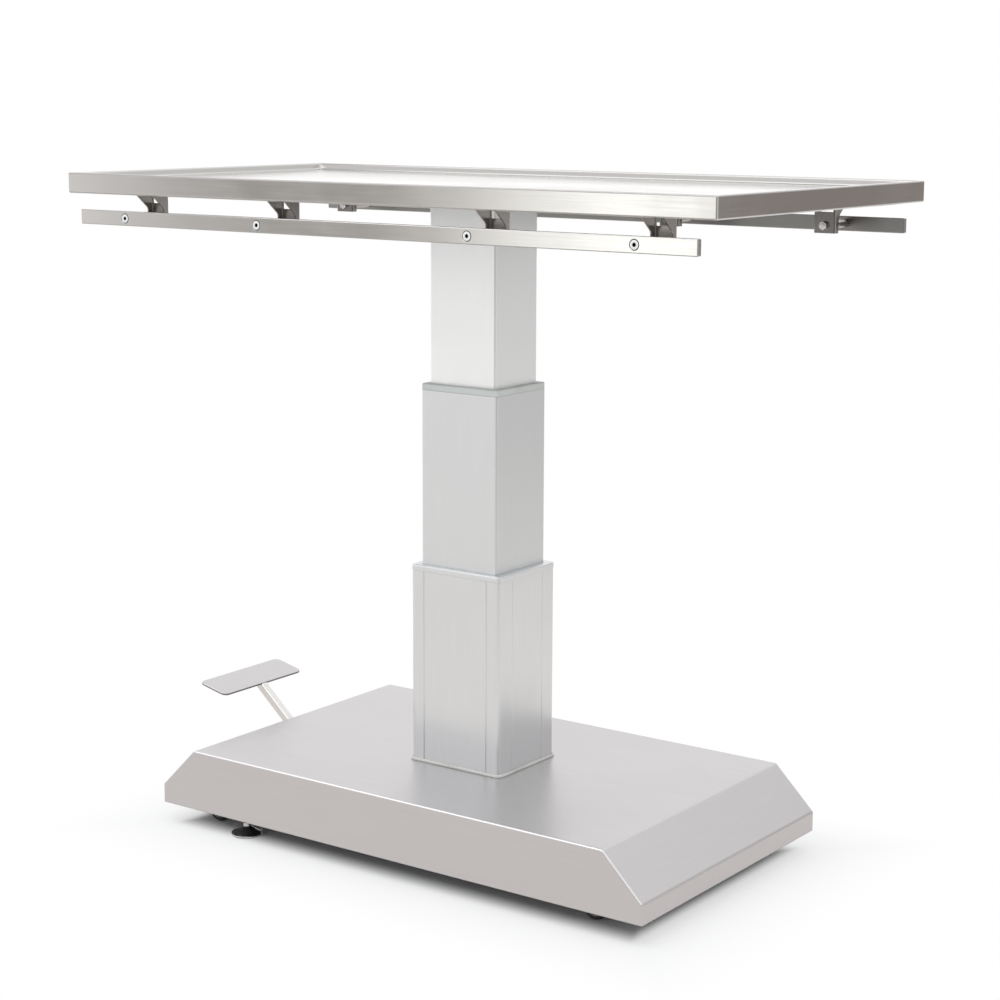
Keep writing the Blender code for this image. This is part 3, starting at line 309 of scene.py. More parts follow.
seen = math_node(sheet, "MAXIMUM", seen, path["Is Glossy Ray"])
glow = mix_colour(sheet, path["Is Glossy Ray"], plain_white, reflected_paper)
white = add_node(sheet, "ShaderNodeEmission", {"Color": glow}).outputs[0]
matt = add_node(sheet, "ShaderNodeBsdfDiffuse", {"Color": paper_colour}).outputs[0]
away = times(sheet, outside, lit, seen)
paper_light = add_node(sheet, "ShaderNodeMixShader", {0: away, 1: matt, 2: white}).outputs[0]
add_node(sheet, "ShaderNodeOutputMaterial", {"Surface": paper_light})
floor_mesh.materials.append(paper)
print("paper shaded under", [round(2 * half, 3) for half in base_half.xy], "m")

# %% [markdown]
# ## The lamp
# One large softbox hangs overhead, a little to the front, and its size keeps the shadow soft. Blender
# gives a lamp's power, but here it starts from how bright a mirror would show it, so that it can be
# set against the patches of the room.

# %% Softbox
softbox_place = Vector((-0.4, -1.4, 3.6))
softbox_aim = Vector((0, 0, 0.3))
softbox_width = 4.6
softbox_depth = 2.2
softbox_brightness = 1.5
light = bpy.data.lights.new("overhead_softbox", "AREA")
light.shape = "RECTANGLE"
light.size = softbox_width
light.size_y = softbox_depth
light.energy = softbox_brightness * math.pi * softbox_width * softbox_depth
softbox = bpy.data.objects.new("overhead_softbox", light)
softbox.location = softbox_place
softbox.rotation_euler = (softbox_aim - softbox_place).to_track_quat("-Z", "Y").to_euler()
bpy.context.scene.collection.objects.link(softbox)
print("softbox of", round(light.energy, 1), "W")

# %% [markdown]
# ## Effects that several finishes share
# Sheet steel is brushed by a belt. The scratches are too fine to see one by one, but each one tips
# the surface a little across its own length, and together they show as faint streaks. The first group
# draws noise out along the grain, tips the normal across it and gives the streaks as a mask. It reads
# which way a face points, because the ends of a sheet are brushed the other way. The long smear of a
# polished sheet is left to the shader's own anisotropy. The other groups round off edges and find
# them, for rubbed wear on some finishes and painted shade on others, lay down smudges, and pebble a
# moulded skin.

# %% Group helpers
def new_group(name, inputs, outputs):
    tree = bpy.data.node_groups.new(name, "ShaderNodeTree")
    for socket, (kind, value) in inputs.items():
        made = tree.interface.new_socket(socket, in_out="INPUT", socket_type="NodeSocket" + kind)
        made.default_value = value
    for socket, kind in outputs.items():
        tree.interface.new_socket(socket, in_out="OUTPUT", socket_type="NodeSocket" + kind)
    return tree, tree.nodes.new("NodeGroupInput").outputs


def close_group(tree, results):
    add_node(tree, "NodeGroupOutput", results)
    print("group", tree.name, "gives", sorted(results))
    return tree


# %% Brushed grain
end_facing = 0.6
waves_along = 9
broad_share = 0.16
seed_direction = (1, 2, 3)
seed_step = 17

tree, given = new_group(
    "brushed_grain",
    {"Grain": ("Vector", (1, 0, 0)), "End grain": ("Vector", (0, 1, 0)),
     "Lines per metre": ("Float", 1500.0), "Scatter": ("Float", 0.2), "Normal": ("Vector", (0, 0, 1))},
    {"Streak": "Float", "Normal": "Vector"})
spot = add_node(tree, "ShaderNodeTexCoord").outputs
endways = absolute(tree, axes_of(tree, spot["Normal"])["X"])
is_end = math_node(tree, "GREATER_THAN", endways, end_facing)
grain = add_node(tree, "ShaderNodeMix", {"Factor": is_end}, data_type="VECTOR")
feed(tree, grain.inputs[4], given["Grain"])
feed(tree, grain.inputs[5], given["End grain"])
along = grain.outputs[1]
across = vector_node(tree, "CROSS_PRODUCT", spot["Normal"], along)
slow = times(tree, dot_node(tree, spot["Object"], along), waves_along)
fast = times(tree, dot_node(tree, spot["Object"], across), given["Lines per metre"])
face_seed = times(tree, dot_node(tree, spot["Normal"], seed_direction), seed_step)
drawn_out = add_node(tree, "ShaderNodeCombineXYZ", {"X": slow, "Y": fast, "Z": face_seed}).outputs[0]
scratch = noise(tree, drawn_out, 1, 2)
broad = noise(tree, vector_node(tree, "MULTIPLY", drawn_out, (1, broad_share, 1)), 1, 3)
tip = times(tree, math_node(tree, "SUBTRACT", scratch, 0.5), given["Scatter"])
tipped = add_node(tree, "ShaderNodeVectorMath", {0: across, "Scale": tip}, operation="SCALE").outputs[0]
in_world = add_node(tree, "ShaderNodeVectorTransform", {"Vector": tipped},
                    vector_type="VECTOR", convert_from="OBJECT", convert_to="WORLD").outputs[0]
leaning = vector_node(tree, "ADD", given["Normal"], in_world)
brushed_normal = add_node(tree, "ShaderNodeVectorMath", {0: leaning}, operation="NORMALIZE").outputs[0]
streak = window(tree, broad, 0.25, 0.75)
brushed_grain = close_group(tree, {"Streak": streak, "Normal": brushed_normal})

# %% Rounded edges, for rubbed wear and painted shade
bevel_rays = 6

tree, given = new_group(
    "rubbed_and_shaded_edges", {"Radius": ("Float", 0.001), "Break up": ("Float", 120.0)},
    {"Edge": "Float", "Normal": "Vector"})
rounded = add_node(tree, "ShaderNodeBevel", {"Radius": given["Radius"]}, samples=bevel_rays).outputs[0]
flat = add_node(tree, "ShaderNodeNewGeometry").outputs["Normal"]
bent = math_node(tree, "SUBTRACT", 1, dot_node(tree, rounded, flat))
surface = add_node(tree, "ShaderNodeTexCoord").outputs["Object"]
broken = span(tree, noise(tree, surface, given["Break up"], 3), 0.45, 1.2)
edge = times(tree, window(tree, bent, 0.005, 0.12), broken)
rubbed_and_shaded_edges = close_group(tree, {"Edge": edge, "Normal": rounded})

# %% Smudges
tree, given = new_group("hand_smudges", {"Patches per metre": ("Float", 6.0)}, {"Smudge": "Float"})
surface = add_node(tree, "ShaderNodeTexCoord").outputs["Object"]
wiped = {"Vector": surface, "Scale": given["Patches per metre"], "Detail": 4, "Distortion": 0.6}
blotches = add_node(tree, "ShaderNodeTexNoise", wiped).outputs[0]
hand_smudges = close_group(tree, {"Smudge": window(tree, blotches, 0.38, 0.66)})

# %% Pebbled skin
tree, given = new_group(
    "skin_pebble", {"Grains per metre": ("Float", 900.0)}, {"Pebble": "Float", "Speck": "Float"})
surface = add_node(tree, "ShaderNodeTexCoord").outputs["Object"]
bumps = noise(tree, surface, given["Grains per metre"], 1)
cells = add_node(tree, "ShaderNodeTexVoronoi", {"Vector": surface, "Scale": given["Grains per metre"]})
speck = window(tree, cells.outputs["Distance"], 0.75, 0.15)
skin_pebble = close_group(tree, {"Pebble": bumps, "Speck": speck})

# %% [markdown]
# ## Finishes
# A finish is one Principled shader. Numbers that are the same all over go straight on its sockets,
# and the groups only feed what changes over the surface: colour, roughness and normal. Brushed metal
# comes up on most of the table, so it has one maker, which takes the metal's colour, the direction of
# the grain and how far it scatters. The maker also paints light and shade into the colour: inner
# walls get painted shade and are made duller, folds get painted shade on the tray and rails and a
# painted highlight on the base, edges get rubbed wear on most finishes and painted shade on the tray,
# rails and brackets, and the upright sides of a plate get painted shade. These could be painted by
# hand, but masks that read which way a face points find them all.

# %% Masks of a folded sheet
def inner_wall_shade_mask(tree):
    """A mask for the long walls that face the middle of the table, where shade is painted."""
    spot = add_node(tree, "ShaderNodeTexCoord").outputs
    facing = axes_of(tree, spot["Normal"])["Y"]
    place = axes_of(tree, spot["Object"])["Y"]
    return window(tree, times(tree, facing, place), -0.05, -0.2)


def fold_highlight_and_shade_mask(tree):
    """A mask for the rounded folds along the long sides of a sheet or bar, where a highlight or shade is
    painted.
    """
    facing = axes_of(tree, add_node(tree, "ShaderNodeTexCoord").outputs["Normal"])
    return window(tree, absolute(tree, times(tree, facing["Y"], facing["Z"])), 0.25, 0.42)


def cut_side_shade_mask(tree):
    """A mask for the upright sides of a plate that lies nearly flat, where shade is painted."""
    facing = axes_of(tree, add_node(tree, "ShaderNodeTexCoord").outputs["Normal"])
    return within(tree, absolute(tree, facing["Z"]), 0.4, 0.8)


print("sheet masks ready")


# %% Brushed metal
lengthwise = (1, 0, 0)
crosswise = (0, 1, 0)
upright = (0, 0, 1)
grain_lines = 1500
streak_swing = 0.02
wiped_swing = 0.04


def new_finish(name, metallic):
    material = bpy.data.materials.new(name)
    material.use_nodes = True
    tree = material.node_tree
    shader = tree.nodes["Principled BSDF"]
    shader.inputs["Metallic"].default_value = metallic
    return material, tree, shader


def group_node(tree, group, values):
    return add_node(tree, "ShaderNodeGroup", values, node_tree=group).outputs


def shaded(colour, share):
    return tuple(min(1, channel * share) for channel in colour)


def brushed_metal(name, colour, rough, scatter, grain=lengthwise, end_grain=crosswise, contrast=0.03,
                  edge_radius=0.0010, edge_wear_and_shade=1.06, smear=0.0, inner_wall_shade=1.0, inside_rough=0.0,
                  fold_highlight_and_shade=1.0, side_shade=1.0):
    """Belt-brushed sheet or bar. Each share of the colour paints a mark: on edges rubbed wear above 1 and
    painted shade below 1, on walls and sides painted shade, on folds painted shade below 1 and a painted
    highlight above 1.
    """
    material, tree, shader = new_finish(name, 1)
    shader.inputs["Anisotropic"].default_value = smear
    shader.inputs["Anisotropic Rotation"].default_value = 0 if grain == upright else 0.25
    edges = group_node(tree, rubbed_and_shaded_edges, {"Radius": edge_radius, "Break up": 8})
    brushed = group_node(tree, brushed_grain, {
        "Grain": grain, "End grain": end_grain, "Lines per metre": grain_lines, "Scatter": scatter,
        "Normal": edges["Normal"]})
    touched = group_node(tree, hand_smudges, {"Patches per metre": 5})
    metal = mix_colour(tree, brushed["Streak"], shaded(colour, 1 - contrast), shaded(colour, 1 + contrast))
    streaked = span(tree, brushed["Streak"], rough + streak_swing, rough - streak_swing)
    dullness = math_node(tree, "ADD", streaked, span(tree, touched["Smudge"], 0, wiped_swing))
    # Walls that face the middle of the table get painted shade: a darker colour, and higher roughness.
    if inner_wall_shade < 1:
        inside = inner_wall_shade_mask(tree)
        metal = mix_colour(tree, inside, metal, shaded(colour, inner_wall_shade))
        dullness = math_node(tree, "ADD", dullness, span(tree, inside, 0, inside_rough))
    # Folds get a painted highlight where the share is above 1, and painted shade where it is below 1.
    if fold_highlight_and_shade != 1:
        metal = mix_colour(tree, fold_highlight_and_shade_mask(tree), metal, shaded(colour, fold_highlight_and_shade))
    # The upright sides of a plate get painted shade.
    if side_shade < 1:
        metal = mix_colour(tree, cut_side_shade_mask(tree), metal, shaded(colour, side_shade))
    # Edges are rubbed brighter as wear where the share is above 1, and get painted shade where it is below
    # 1.
    edged_colour = mix_colour(tree, edges["Edge"], metal, shaded(colour, edge_wear_and_shade))
    feed(tree, shader.inputs["Base Color"], edged_colour)
    feed(tree, shader.inputs["Roughness"], dullness)
    feed(tree, shader.inputs["Normal"], brushed["Normal"])
    return material


print("brushed metal ready")

# %% Plain metals and moulded skins
rubbed_gain = 1.1
plating_swing = 0.05
pit_strength = 0.06
pit_depth = 0.0003
skin_swing = 0.06
pebble_depth = 0.0004


def plain_metal(name, dull, bright, rough, metallic=1.0, grains=700, edge_radius=0.0004):
    """Turned, plated or cast metal, with a fine spangle in place of a grain."""
    material, tree, shader = new_finish(name, metallic)
    edges = group_node(tree, rubbed_and_shaded_edges, {"Radius": edge_radius, "Break up": 400})
    skin = group_node(tree, skin_pebble, {"Grains per metre": grains})
    touched = group_node(tree, hand_smudges, {"Patches per metre": 30})
    body = mix_colour(tree, touched["Smudge"], bright, dull)
    edged_colour = mix_colour(tree, edges["Edge"], body, shaded(bright, rubbed_gain))
    spangled = span(tree, skin["Speck"], rough, rough + plating_swing)
    dullness = math_node(tree, "ADD", spangled, span(tree, touched["Smudge"], 0, plating_swing))
    pits = {"Strength": pit_strength, "Distance": pit_depth, "Height": skin["Pebble"],
            "Normal": edges["Normal"]}
    feed(tree, shader.inputs["Base Color"], edged_colour)
    feed(tree, shader.inputs["Roughness"], dullness)
    feed(tree, shader.inputs["Normal"], add_node(tree, "ShaderNodeBump", pits).outputs[0])
    return material


def moulded_skin(name, dull, plain, rough, grains, depth, edge_colour, edge_radius=0.0008, coat=0.0):
    """Plastic, paint or rubber with a pebbled skin."""
    material, tree, shader = new_finish(name, 0)
    shader.inputs["Coat Weight"].default_value = coat
    skin = group_node(tree, skin_pebble, {"Grains per metre": grains})
    edges = group_node(tree, rubbed_and_shaded_edges, {"Radius": edge_radius, "Break up": 200})
    touched = group_node(tree, hand_smudges, {"Patches per metre": 9})
    body = mix_colour(tree, touched["Smudge"], plain, dull)
    speckled = span(tree, skin["Speck"], rough, rough + skin_swing)
    dullness = math_node(tree, "ADD", speckled, span(tree, touched["Smudge"], 0, skin_swing))
    pebbles = {"Strength": depth, "Distance": pebble_depth, "Height": skin["Pebble"],
               "Normal": edges["Normal"]}
    feed(tree, shader.inputs["Base Color"], mix_colour(tree, edges["Edge"], body, edge_colour))
    feed(tree, shader.inputs["Roughness"], dullness)
    feed(tree, shader.inputs["Normal"], add_node(tree, "ShaderNodeBump", pebbles).outputs[0])
    return material


print("finish makers ready")

# %% Steel and aluminium
# Shares below 1 for walls, folds, edges and sides paint shade; the base's fold share of 1.45 paints a
# highlight.
tray_steel = brushed_metal("tray_steel", (0.66, 0.65, 0.632), 0.14, 0.02, contrast=0.012,
                           edge_radius=0.0012, edge_wear_and_shade=0.4, smear=0.6, inner_wall_shade=0.78, fold_highlight_and_shade=0.5)
base_steel = brushed_metal("base_steel", (0.605, 0.592, 0.595), 0.33, 0.06, contrast=0.008,
                           edge_radius=0.0032, fold_highlight_and_shade=1.45)
pedal_steel = brushed_metal("pedal_steel", (0.59, 0.58, 0.58), 0.34, 0.06, crosswise, crosswise,
                            contrast=0.015, side_shade=0.4)
# The lever's steel is the pedal's steel painted lighter, as painted light.
lever_steel_painted_lighter = brushed_metal("lever_steel_painted_lighter", (0.72, 0.71, 0.69), 0.34, 0.06, crosswise, crosswise,
                            contrast=0.015)
rail_steel = brushed_metal("rail_steel", (0.70, 0.69, 0.67), 0.14, 0.02, contrast=0.012, edge_radius=0.0008,
                           edge_wear_and_shade=0.3, smear=0.6, inner_wall_shade=0.42, inside_rough=0.16, fold_highlight_and_shade=0.55)
bracket_steel = brushed_metal("bracket_steel", (0.42, 0.395, 0.375), 0.24, 0.06, upright, upright,
                              contrast=0.03, edge_radius=0.0012, edge_wear_and_shade=0.25, inner_wall_shade=0.56)
outer_aluminium = brushed_metal("outer_aluminium", (0.76, 0.78, 0.79), 0.30, 0.03, upright, upright,
                                contrast=0.01, edge_radius=0.0008, smear=0.6)
mid_aluminium = brushed_metal("mid_aluminium", (0.745, 0.765, 0.768), 0.42, 0.03, upright, upright,
                              contrast=0.006, edge_radius=0.0012)
# The top stage's finish is the mid stage's finish painted lighter, as painted light.
top_aluminium_painted_lighter = brushed_metal("top_aluminium_painted_lighter", (0.94, 0.955, 0.955), 0.42, 0.03, upright, upright,
                              contrast=0.006, edge_radius=0.0012)
bolt_steel = plain_metal("bolt_steel", (0.58, 0.58, 0.57), (0.70, 0.70, 0.69), 0.24)
bright_zinc = plain_metal("bright_zinc", (0.74, 0.77, 0.77), (0.86, 0.89, 0.89), 0.36, 0.55)
# Near-black, as painted shade for the bolts' sockets and the rims of their heads.
bolt_painted_shade = plain_metal("bolt_painted_shade", (0.02, 0.02, 0.02), (0.03, 0.03, 0.03), 0.5)
nut_chrome = plain_metal("nut_chrome", (0.66, 0.67, 0.68), (0.80, 0.81, 0.82), 0.12)
zinc_plate = plain_metal("zinc_plate", (0.48, 0.49, 0.50), (0.62, 0.62, 0.60), 0.34, grains=260)
hard_chrome = plain_metal("hard_chrome", (0.50, 0.51, 0.53), (0.58, 0.59, 0.60), 0.10)
foot_chrome = plain_metal("foot_chrome", (0.48, 0.48, 0.49), (0.60, 0.60, 0.61), 0.18, edge_radius=0.0008)
print("metals ready")

# %% Plastic, paint, rubber and sealant
collar_plastic = moulded_skin("collar_plastic", (0.575, 0.60, 0.58), (0.65, 0.68, 0.66), 0.42, 1500, 0.12,
                              (0.85, 0.87, 0.85))
guide_plastic = moulded_skin("guide_plastic", (0.66, 0.64, 0.56), (0.76, 0.74, 0.67), 0.42, 1200, 0.15,
                             (0.82, 0.80, 0.74))
black_coat = moulded_skin("black_powder_coat", (0.028, 0.028, 0.03), (0.036, 0.036, 0.038), 0.46, 2200, 0.5,
                          (0.075, 0.075, 0.08), coat=0.15)
pump_iron = moulded_skin("pump_iron", (0.10, 0.105, 0.115), (0.14, 0.145, 0.155), 0.5, 1600, 0.6,
                         (0.30, 0.30, 0.31))
tyre_rubber = moulded_skin("tyre_rubber", (0.022, 0.022, 0.023), (0.03, 0.03, 0.031), 0.62, 2600, 0.35,
                           (0.06, 0.06, 0.06))
hub_nylon = moulded_skin("hub_nylon", (0.20, 0.20, 0.205), (0.26, 0.26, 0.265), 0.42, 1800, 0.2,
                         (0.36, 0.36, 0.36))
clear_sealant = moulded_skin("clear_sealant", (0.50, 0.50, 0.48), (0.62, 0.62, 0.60), 0.28, 350, 0.25,
                             (0.70, 0.70, 0.68), 0.001, 0.3)
print("skins ready")

# %% [markdown]
# ## Finishes on the frame's own nodes
# A node that already has the right shape keeps it and only changes its material. The tray and the
# base are the same steel, but the base has a softer satin finish, so they get different materials.

# %% Assign the finishes
finish_of = {
    "table_tray": tray_steel, "base_cover": base_steel, "pedal_plate": pedal_steel,
    "pedal_lever": lever_steel_painted_lighter, "near_rail": rail_steel, "far_rail": rail_steel,
    "outer_column": outer_aluminium, "outer_bezel": outer_aluminium, "mid_column": mid_aluminium,
    "top_column": top_aluminium_painted_lighter, "mid_collar": collar_plastic, "foot_seal": clear_sealant,
    "mid_guide": guide_plastic, "top_guide": guide_plastic, "table_frame": black_coat,
    "head_plate": black_coat, "base_plate": black_coat, "column_flange": black_coat,
    "ram_barrel": black_coat, "oil_reservoir": black_coat, "pump_body": pump_iron,
    "pedal_clevis": pump_iron, "ram_sleeve": hard_chrome, "ram_rod": hard_chrome,
    "pump_plunger": hard_chrome, "pedal_shaft": hard_chrome, "pressure_pipe": zinc_plate,
    "suction_pipe": zinc_plate, "return_spring": bolt_steel}
for number in range(1, 5):
    for side in ("near", "far"):
        finish_of[f"{side}_bracket_{number}"] = bracket_steel
        finish_of[f"{side}_rail_bolt_{number}"] = bolt_steel
    finish_of[f"castor_fork_{number}"] = zinc_plate
    finish_of[f"castor_axle_{number}"] = bolt_steel
    finish_of[f"castor_wheel_{number}"] = tyre_rubber
for number in (1, 2):
    finish_of[f"levelling_foot_{number}"] = foot_chrome
for name, node in nodes.items():
    for slot in node.material_slots:
        slot.material = finish_of[name]
print("finishes on", len(finish_of), "nodes; left:", sorted(set(nodes) - set(finish_of)))

# %% [markdown]
# ## Finer turned pieces
# Bolts, nuts, wheels and feet are all round with something cut into them: a hexagon, a thread, a
# groove. A lathe profile can't hold a hexagon, and cutting each one with Booleans is slow. Instead a
# piece is a stack of rings, and each ring has a height and a radius that may change with the angle.
# A hexagon is then only a radius that rises towards six corners, and a thread is a radius that rises
# and falls as it climbs.

# %% Rings
millimetre = 0.001
ring_steps = 48
rings_per_turn = 5


def ring_points(radius, along):
    points = []
    for step in range(ring_steps):
        angle = 2 * math.pi * step / ring_steps
        reach = radius(angle) if callable(radius) else radius
        points.append((reach * math.cos(angle), reach * math.sin(angle), along))
    return points


def hexagon(flats, limit=1):
    """The radius of a hexagon, cut back to a circle where its corners are chamfered."""
    def radius(angle):
        from_flat = (angle + math.pi / 6) % (math.pi / 3) - math.pi / 6
        return min(flats / 2 / math.cos(from_flat), limit)
    return radius


def thread_rings(radius, depth, pitch, start, end):
    """Rings of a screw thread, a few to each turn."""
    count = math.ceil(abs(end - start) / (pitch / rings_per_turn))
    rings = []
    for step in range(count + 1):
        along = start + (end - start) * step / count

        def climbing(angle, along=along):
            turn = (along / pitch + angle / (2 * math.pi)) % 1
            return radius - depth * abs(2 * turn - 1)
        rings.append((climbing, along))
    return rings


print("rings of", ring_steps, "steps")

# %% Stacks of rings
sharp_angle = math.radians(32)


def stack_rings(work, rings, finish=0, closed=False):
    """Adds a skin over the rings, from the first to the last, to a mesh being made."""
    loops = []
    for radius, along in rings:
        loops.append([work.verts.new(point) for point in ring_points(radius, along)])
    pairs = list(zip(loops, loops[1:]))
    if closed:
        pairs.append((loops[-1], loops[0]))
    faces = []
    for lower, upper in pairs:
        for step in range(ring_steps):
            after = (step + 1) % ring_steps
            faces.append(work.faces.new((lower[step], lower[after], upper[after], upper[step])))
    if not closed:
        faces.append(work.faces.new(loops[0]))
        faces.append(work.faces.new(loops[-1]))
    for face in faces:
        face.material_index = finish
        face.smooth = True
    return faces


def finished_mesh(work, name, finishes):
    bmesh.ops.recalc_face_normals(work, faces=work.faces)
    mesh = bpy.data.meshes.new(name)
    work.to_mesh(mesh)
    work.free()
    mesh.set_sharp_from_angle(angle=sharp_angle)
    for finish in finishes:
        mesh.materials.append(finish)
    return mesh


def place_piece(name, mesh, matrix, node, body):
    """Puts a fine piece where its node is, and lets it move with the node's body."""
    piece = bpy.data.objects.new(name, mesh)
    piece.matrix_world = matrix
    bpy.context.scene.collection.objects.link(piece)
    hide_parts(node)
    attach(piece, body)


print("ring stacks ready")

# %% [markdown]
# ## Rail bolts
# Countersunk bolts hold each rail to its brackets. In the photograph their heads are pale plated
# discs with a dark hexagon and a thin dark ring round them, where the head meets its countersink. The
# ring could be a groove in the rail, but the rail's shape is fixed, so the faces of the head's rounded
# rim are painted dark instead, as painted shade of that gap, and the socket's faces are painted dark
# as its shade. The nut behind the bracket is chamfered, and the thread shows past it. The skin of the
# stack comes in bands, one from each ring to the next, so a band's number finds its faces.

# %% Bolt profile
bolt_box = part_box("near_rail_bolt_1")
bolt_length = extent(bolt_box).y
head_radius = extent(bolt_box).x / 2
rim = 1.4 * millimetre
shank = 4.0 * millimetre
socket_flats = 5.0 * millimetre
socket_depth = 3.0 * millimetre
socket_mouth = 3.2 * millimetre
socket_chamfer = 0.3 * millimetre
nut_flats = 13.0 * millimetre
nut_height = 6.5 * millimetre
nut_chamfer = 0.7 * millimetre
nut_face_inset = 0.2 * millimetre
bolt_tail = 2.0 * millimetre
thread_depth = 0.55 * millimetre
thread_pitch = 1.25 * millimetre

nut_end = bolt_tail - bolt_length
nut_start = nut_end + nut_height
nut_face = nut_flats / 2 - nut_face_inset
nut_outline = hexagon(nut_flats, nut_face + nut_chamfer)
socket = [(hexagon(socket_flats), -socket_depth), (hexagon(socket_flats), -socket_chamfer)]
head = [(socket_mouth, 0), (head_radius - rim, 0), (head_radius - 0.4 * rim, -0.25 * rim),
        (head_radius - 0.1 * rim, -rim), (shank, shank - head_radius), (shank, nut_start)]
nut = [(nut_face, nut_start), (nut_outline, nut_start - nut_chamfer),
       (nut_outline, nut_end + nut_chamfer), (nut_face, nut_end)]
tail = [(shank - thread_depth, nut_end)]
tail += thread_rings(shank, thread_depth, thread_pitch, nut_end, nut_end - bolt_tail)
print("rail bolt", round(bolt_length / millimetre, 1), "mm long")

# %% Bolt mesh
socket_end = 2 * ring_steps
rim_start = 3 * ring_steps
rim_end = 5 * ring_steps
nut_band = 7 * ring_steps

work = bmesh.new()
faces = stack_rings(work, socket + head + nut + tail)
# The socket's faces, its floor and the head's rim get painted shade.
for face in faces[:socket_end] + faces[rim_start:rim_end] + faces[-2:-1]:
    face.material_index = 1
for face in faces[nut_band:-2] + faces[-1:]:
    face.material_index = 2
bolt_mesh = finished_mesh(work, "rail_bolt", (bright_zinc, bolt_painted_shade, nut_chrome))
print("rail bolt of", len(bolt_mesh.polygons), "faces")

# %% Place the bolts
for side, out in (("near", -1), ("far", 1)):
    outwards = Matrix.Rotation(-out * math.pi / 2, 4, "X")
    for number in range(1, 5):
        node = f"{side}_rail_bolt_{number}"
        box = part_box(node)
        head_face = middle(box)
        head_face.y = box[1][1] if out > 0 else box[0][1]
        head_place = Matrix.Translation(head_face) @ outwards
        place_piece(f"fine_{node}", bolt_mesh, head_place, node, "top_stage")
print("placed the rail bolts, heads", round(2 * head_radius / millimetre, 1), "mm across")

# %% [markdown]
# ## Castor wheels
# The wheels are small, with a rubber tyre pressed over a nylon hub. The tyre has a flat tread with
# two grooves and round shoulders, and the hub is dished so that the axle's head sits below its rim.
# Both sides of a wheel are alike, so half of each profile is drawn, and the other half mirrors it.

# %% Wheel profile
wheel_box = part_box("castor_wheel_1")
wheel_radius = extent(wheel_box).z / 2
wheel_half = extent(wheel_box).y / 2
bore = 4.3 * millimetre
hub_radius = wheel_radius - 6.5 * millimetre
hub_slack = 0.02 * millimetre
hub_flange_foot = 2.0 * millimetre
hub_flange_top = 1.4 * millimetre
tyre_lip = 0.4 * millimetre
shoulder = 4.0 * millimetre
groove_place = 2.6 * millimetre
groove_half = 0.5 * millimetre
groove_depth = 0.8 * millimetre
dish = 2.5 * millimetre

boss_face = wheel_half - dish
web_face = wheel_half - 1.6 * dish
groove_floor = wheel_radius - groove_depth
shoulder_turns = [step * math.pi / 8 for step in range(5)]
corner = [(wheel_radius - shoulder * (1 - math.sin(turn)), wheel_half - shoulder * (1 - math.cos(turn)))
          for turn in shoulder_turns]
groove = [(wheel_radius, groove_place + 2 * groove_half), (groove_floor, groove_place + groove_half),
          (groove_floor, groove_place - groove_half), (wheel_radius, groove_place - 2 * groove_half)]
tyre = [(hub_radius, wheel_half - tyre_lip), (hub_radius + millimetre, wheel_half)] + corner + groove
hub = [(bore, boss_face), (2 * bore, boss_face), (2.2 * bore, web_face),
       (hub_radius - hub_flange_foot, web_face), (hub_radius - hub_flange_top, wheel_half - 0.2 * dish),
       (hub_radius - hub_slack, wheel_half - 0.3 * dish)]
print("castor wheels", round(2 * wheel_radius / millimetre, 1), "mm across")


# %% Wheel mesh
def mirrored(half):
    """A closed profile from its upper half."""
    return half + [(radius, -along) for radius, along in reversed(half)]


work = bmesh.new()
stack_rings(work, mirrored(tyre), 0, closed=True)
stack_rings(work, mirrored(hub), 1, closed=True)
wheel_mesh = finished_mesh(work, "castor_wheel", (tyre_rubber, hub_nylon))
for number in range(1, 5):
    node = f"castor_wheel_{number}"
    hub_place = Matrix.Translation(middle(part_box(node))) @ Matrix.Rotation(math.pi / 2, 4, "X")
    place_piece(f"fine_{node}", wheel_mesh, hub_place, node, f"wheel_{number}")
print("wheels of", len(wheel_mesh.polygons), "faces")

# %% [markdown]
# ## Levelling feet
# Each foot is a shallow chromed cone with a bright rim bead, on a threaded stud that screws into the
# base plate. A spanner turns it by the flats above the cone. The profile is drawn from the sole
# upwards: round the bead, up the bowed cone, then the flats and the thread.

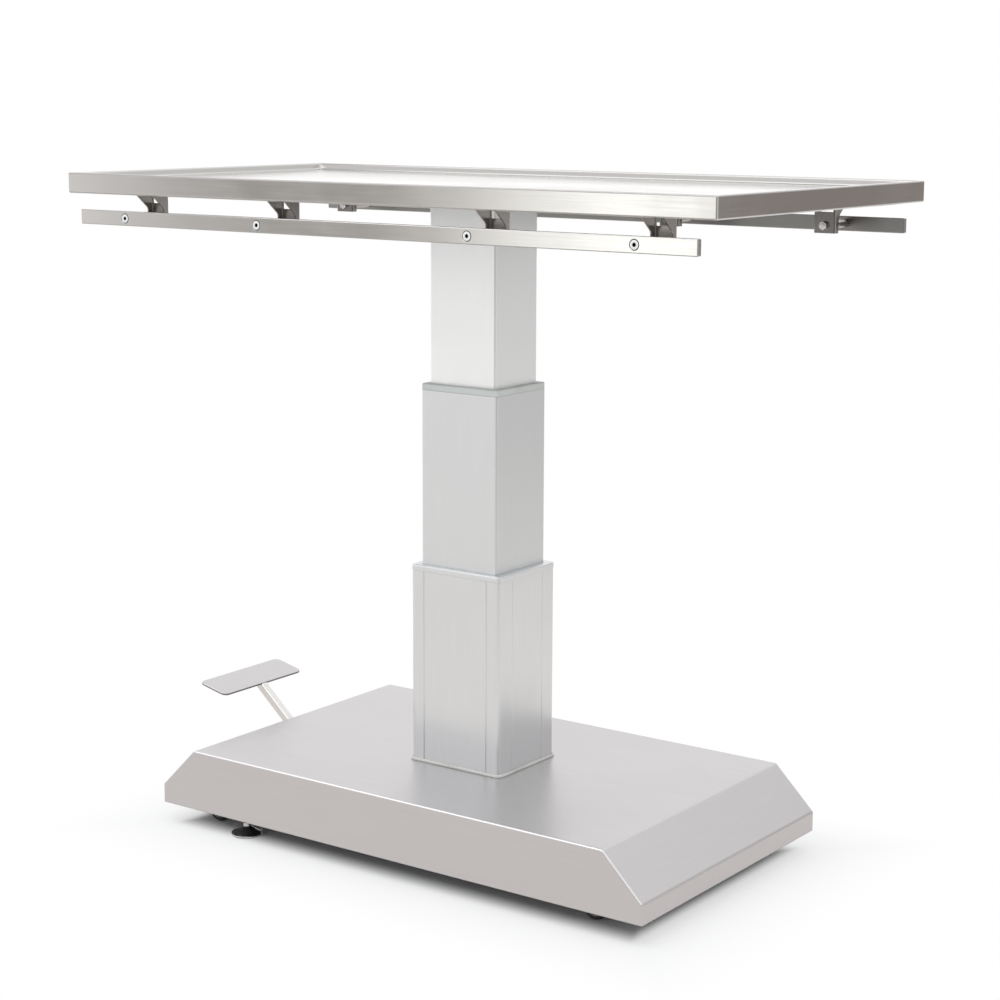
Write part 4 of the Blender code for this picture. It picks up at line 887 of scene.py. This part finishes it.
# %% Foot profile
foot_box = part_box("levelling_foot_1")
foot_radius = extent(foot_box).x / 2
foot_height = extent(foot_box).z
stud_radius = 5.0 * millimetre
stud_pitch = 1.5 * millimetre
stud_depth = 0.65 * millimetre
cone_foot = 5.0 * millimetre
cone_top = 17.0 * millimetre
cone_bow = 1.25
flats_height = 6.0 * millimetre
flats_chamfer = 0.3 * millimetre
neck = 7.0 * millimetre
bead = 1.5 * millimetre
sole_step = 0.4 * millimetre

bead_foot = cone_foot - 2 * bead
cone_reach = foot_radius - 2.6 * bead - neck
flats_top = cone_top + flats_height
flats_outline = hexagon(2 * neck, neck + flats_chamfer)
sole = [(foot_radius - 2 * bead, 0), (foot_radius - bead, sole_step), (foot_radius - bead, bead_foot)]
rim_bead = [(foot_radius - bead * (1 - math.cos(turn)), bead_foot + bead * (1 + math.sin(turn)))
            for turn in (-math.pi / 2, -math.pi / 4, 0, math.pi / 4, math.pi / 2)]
inside_bead = [(foot_radius - 2.4 * bead, cone_foot - 0.3 * bead)]
cone = [(neck + cone_reach * share ** cone_bow, cone_top - (cone_top - cone_foot) * share)
        for share in (0.85, 0.6, 0.35, 0.12, 0)]
flats = [(flats_outline, cone_top), (flats_outline, flats_top)]
stud = [(stud_radius - stud_depth, flats_top)]
stud += thread_rings(stud_radius, stud_depth, stud_pitch, flats_top, foot_height)
print("levelling feet", round(2 * foot_radius / millimetre, 1), "mm across")

# %% Foot mesh
work = bmesh.new()
stack_rings(work, sole + rim_bead + inside_bead + cone + flats + stud)
foot_mesh = finished_mesh(work, "levelling_foot", (foot_chrome,))
for number in (1, 2):
    node = f"levelling_foot_{number}"
    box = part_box(node)
    floor_spot = middle(box)
    floor_spot.z = box[0][2]
    foot_place = Matrix.Translation(floor_spot)
    place_piece(f"fine_{node}", foot_mesh, foot_place, node, f"foot_{number}")
print("feet of", len(foot_mesh.polygons), "faces")

# %% [markdown]
# ## The view
# The scene uses the Standard view transform.


bpy.context.scene.view_settings.view_transform = "Standard"
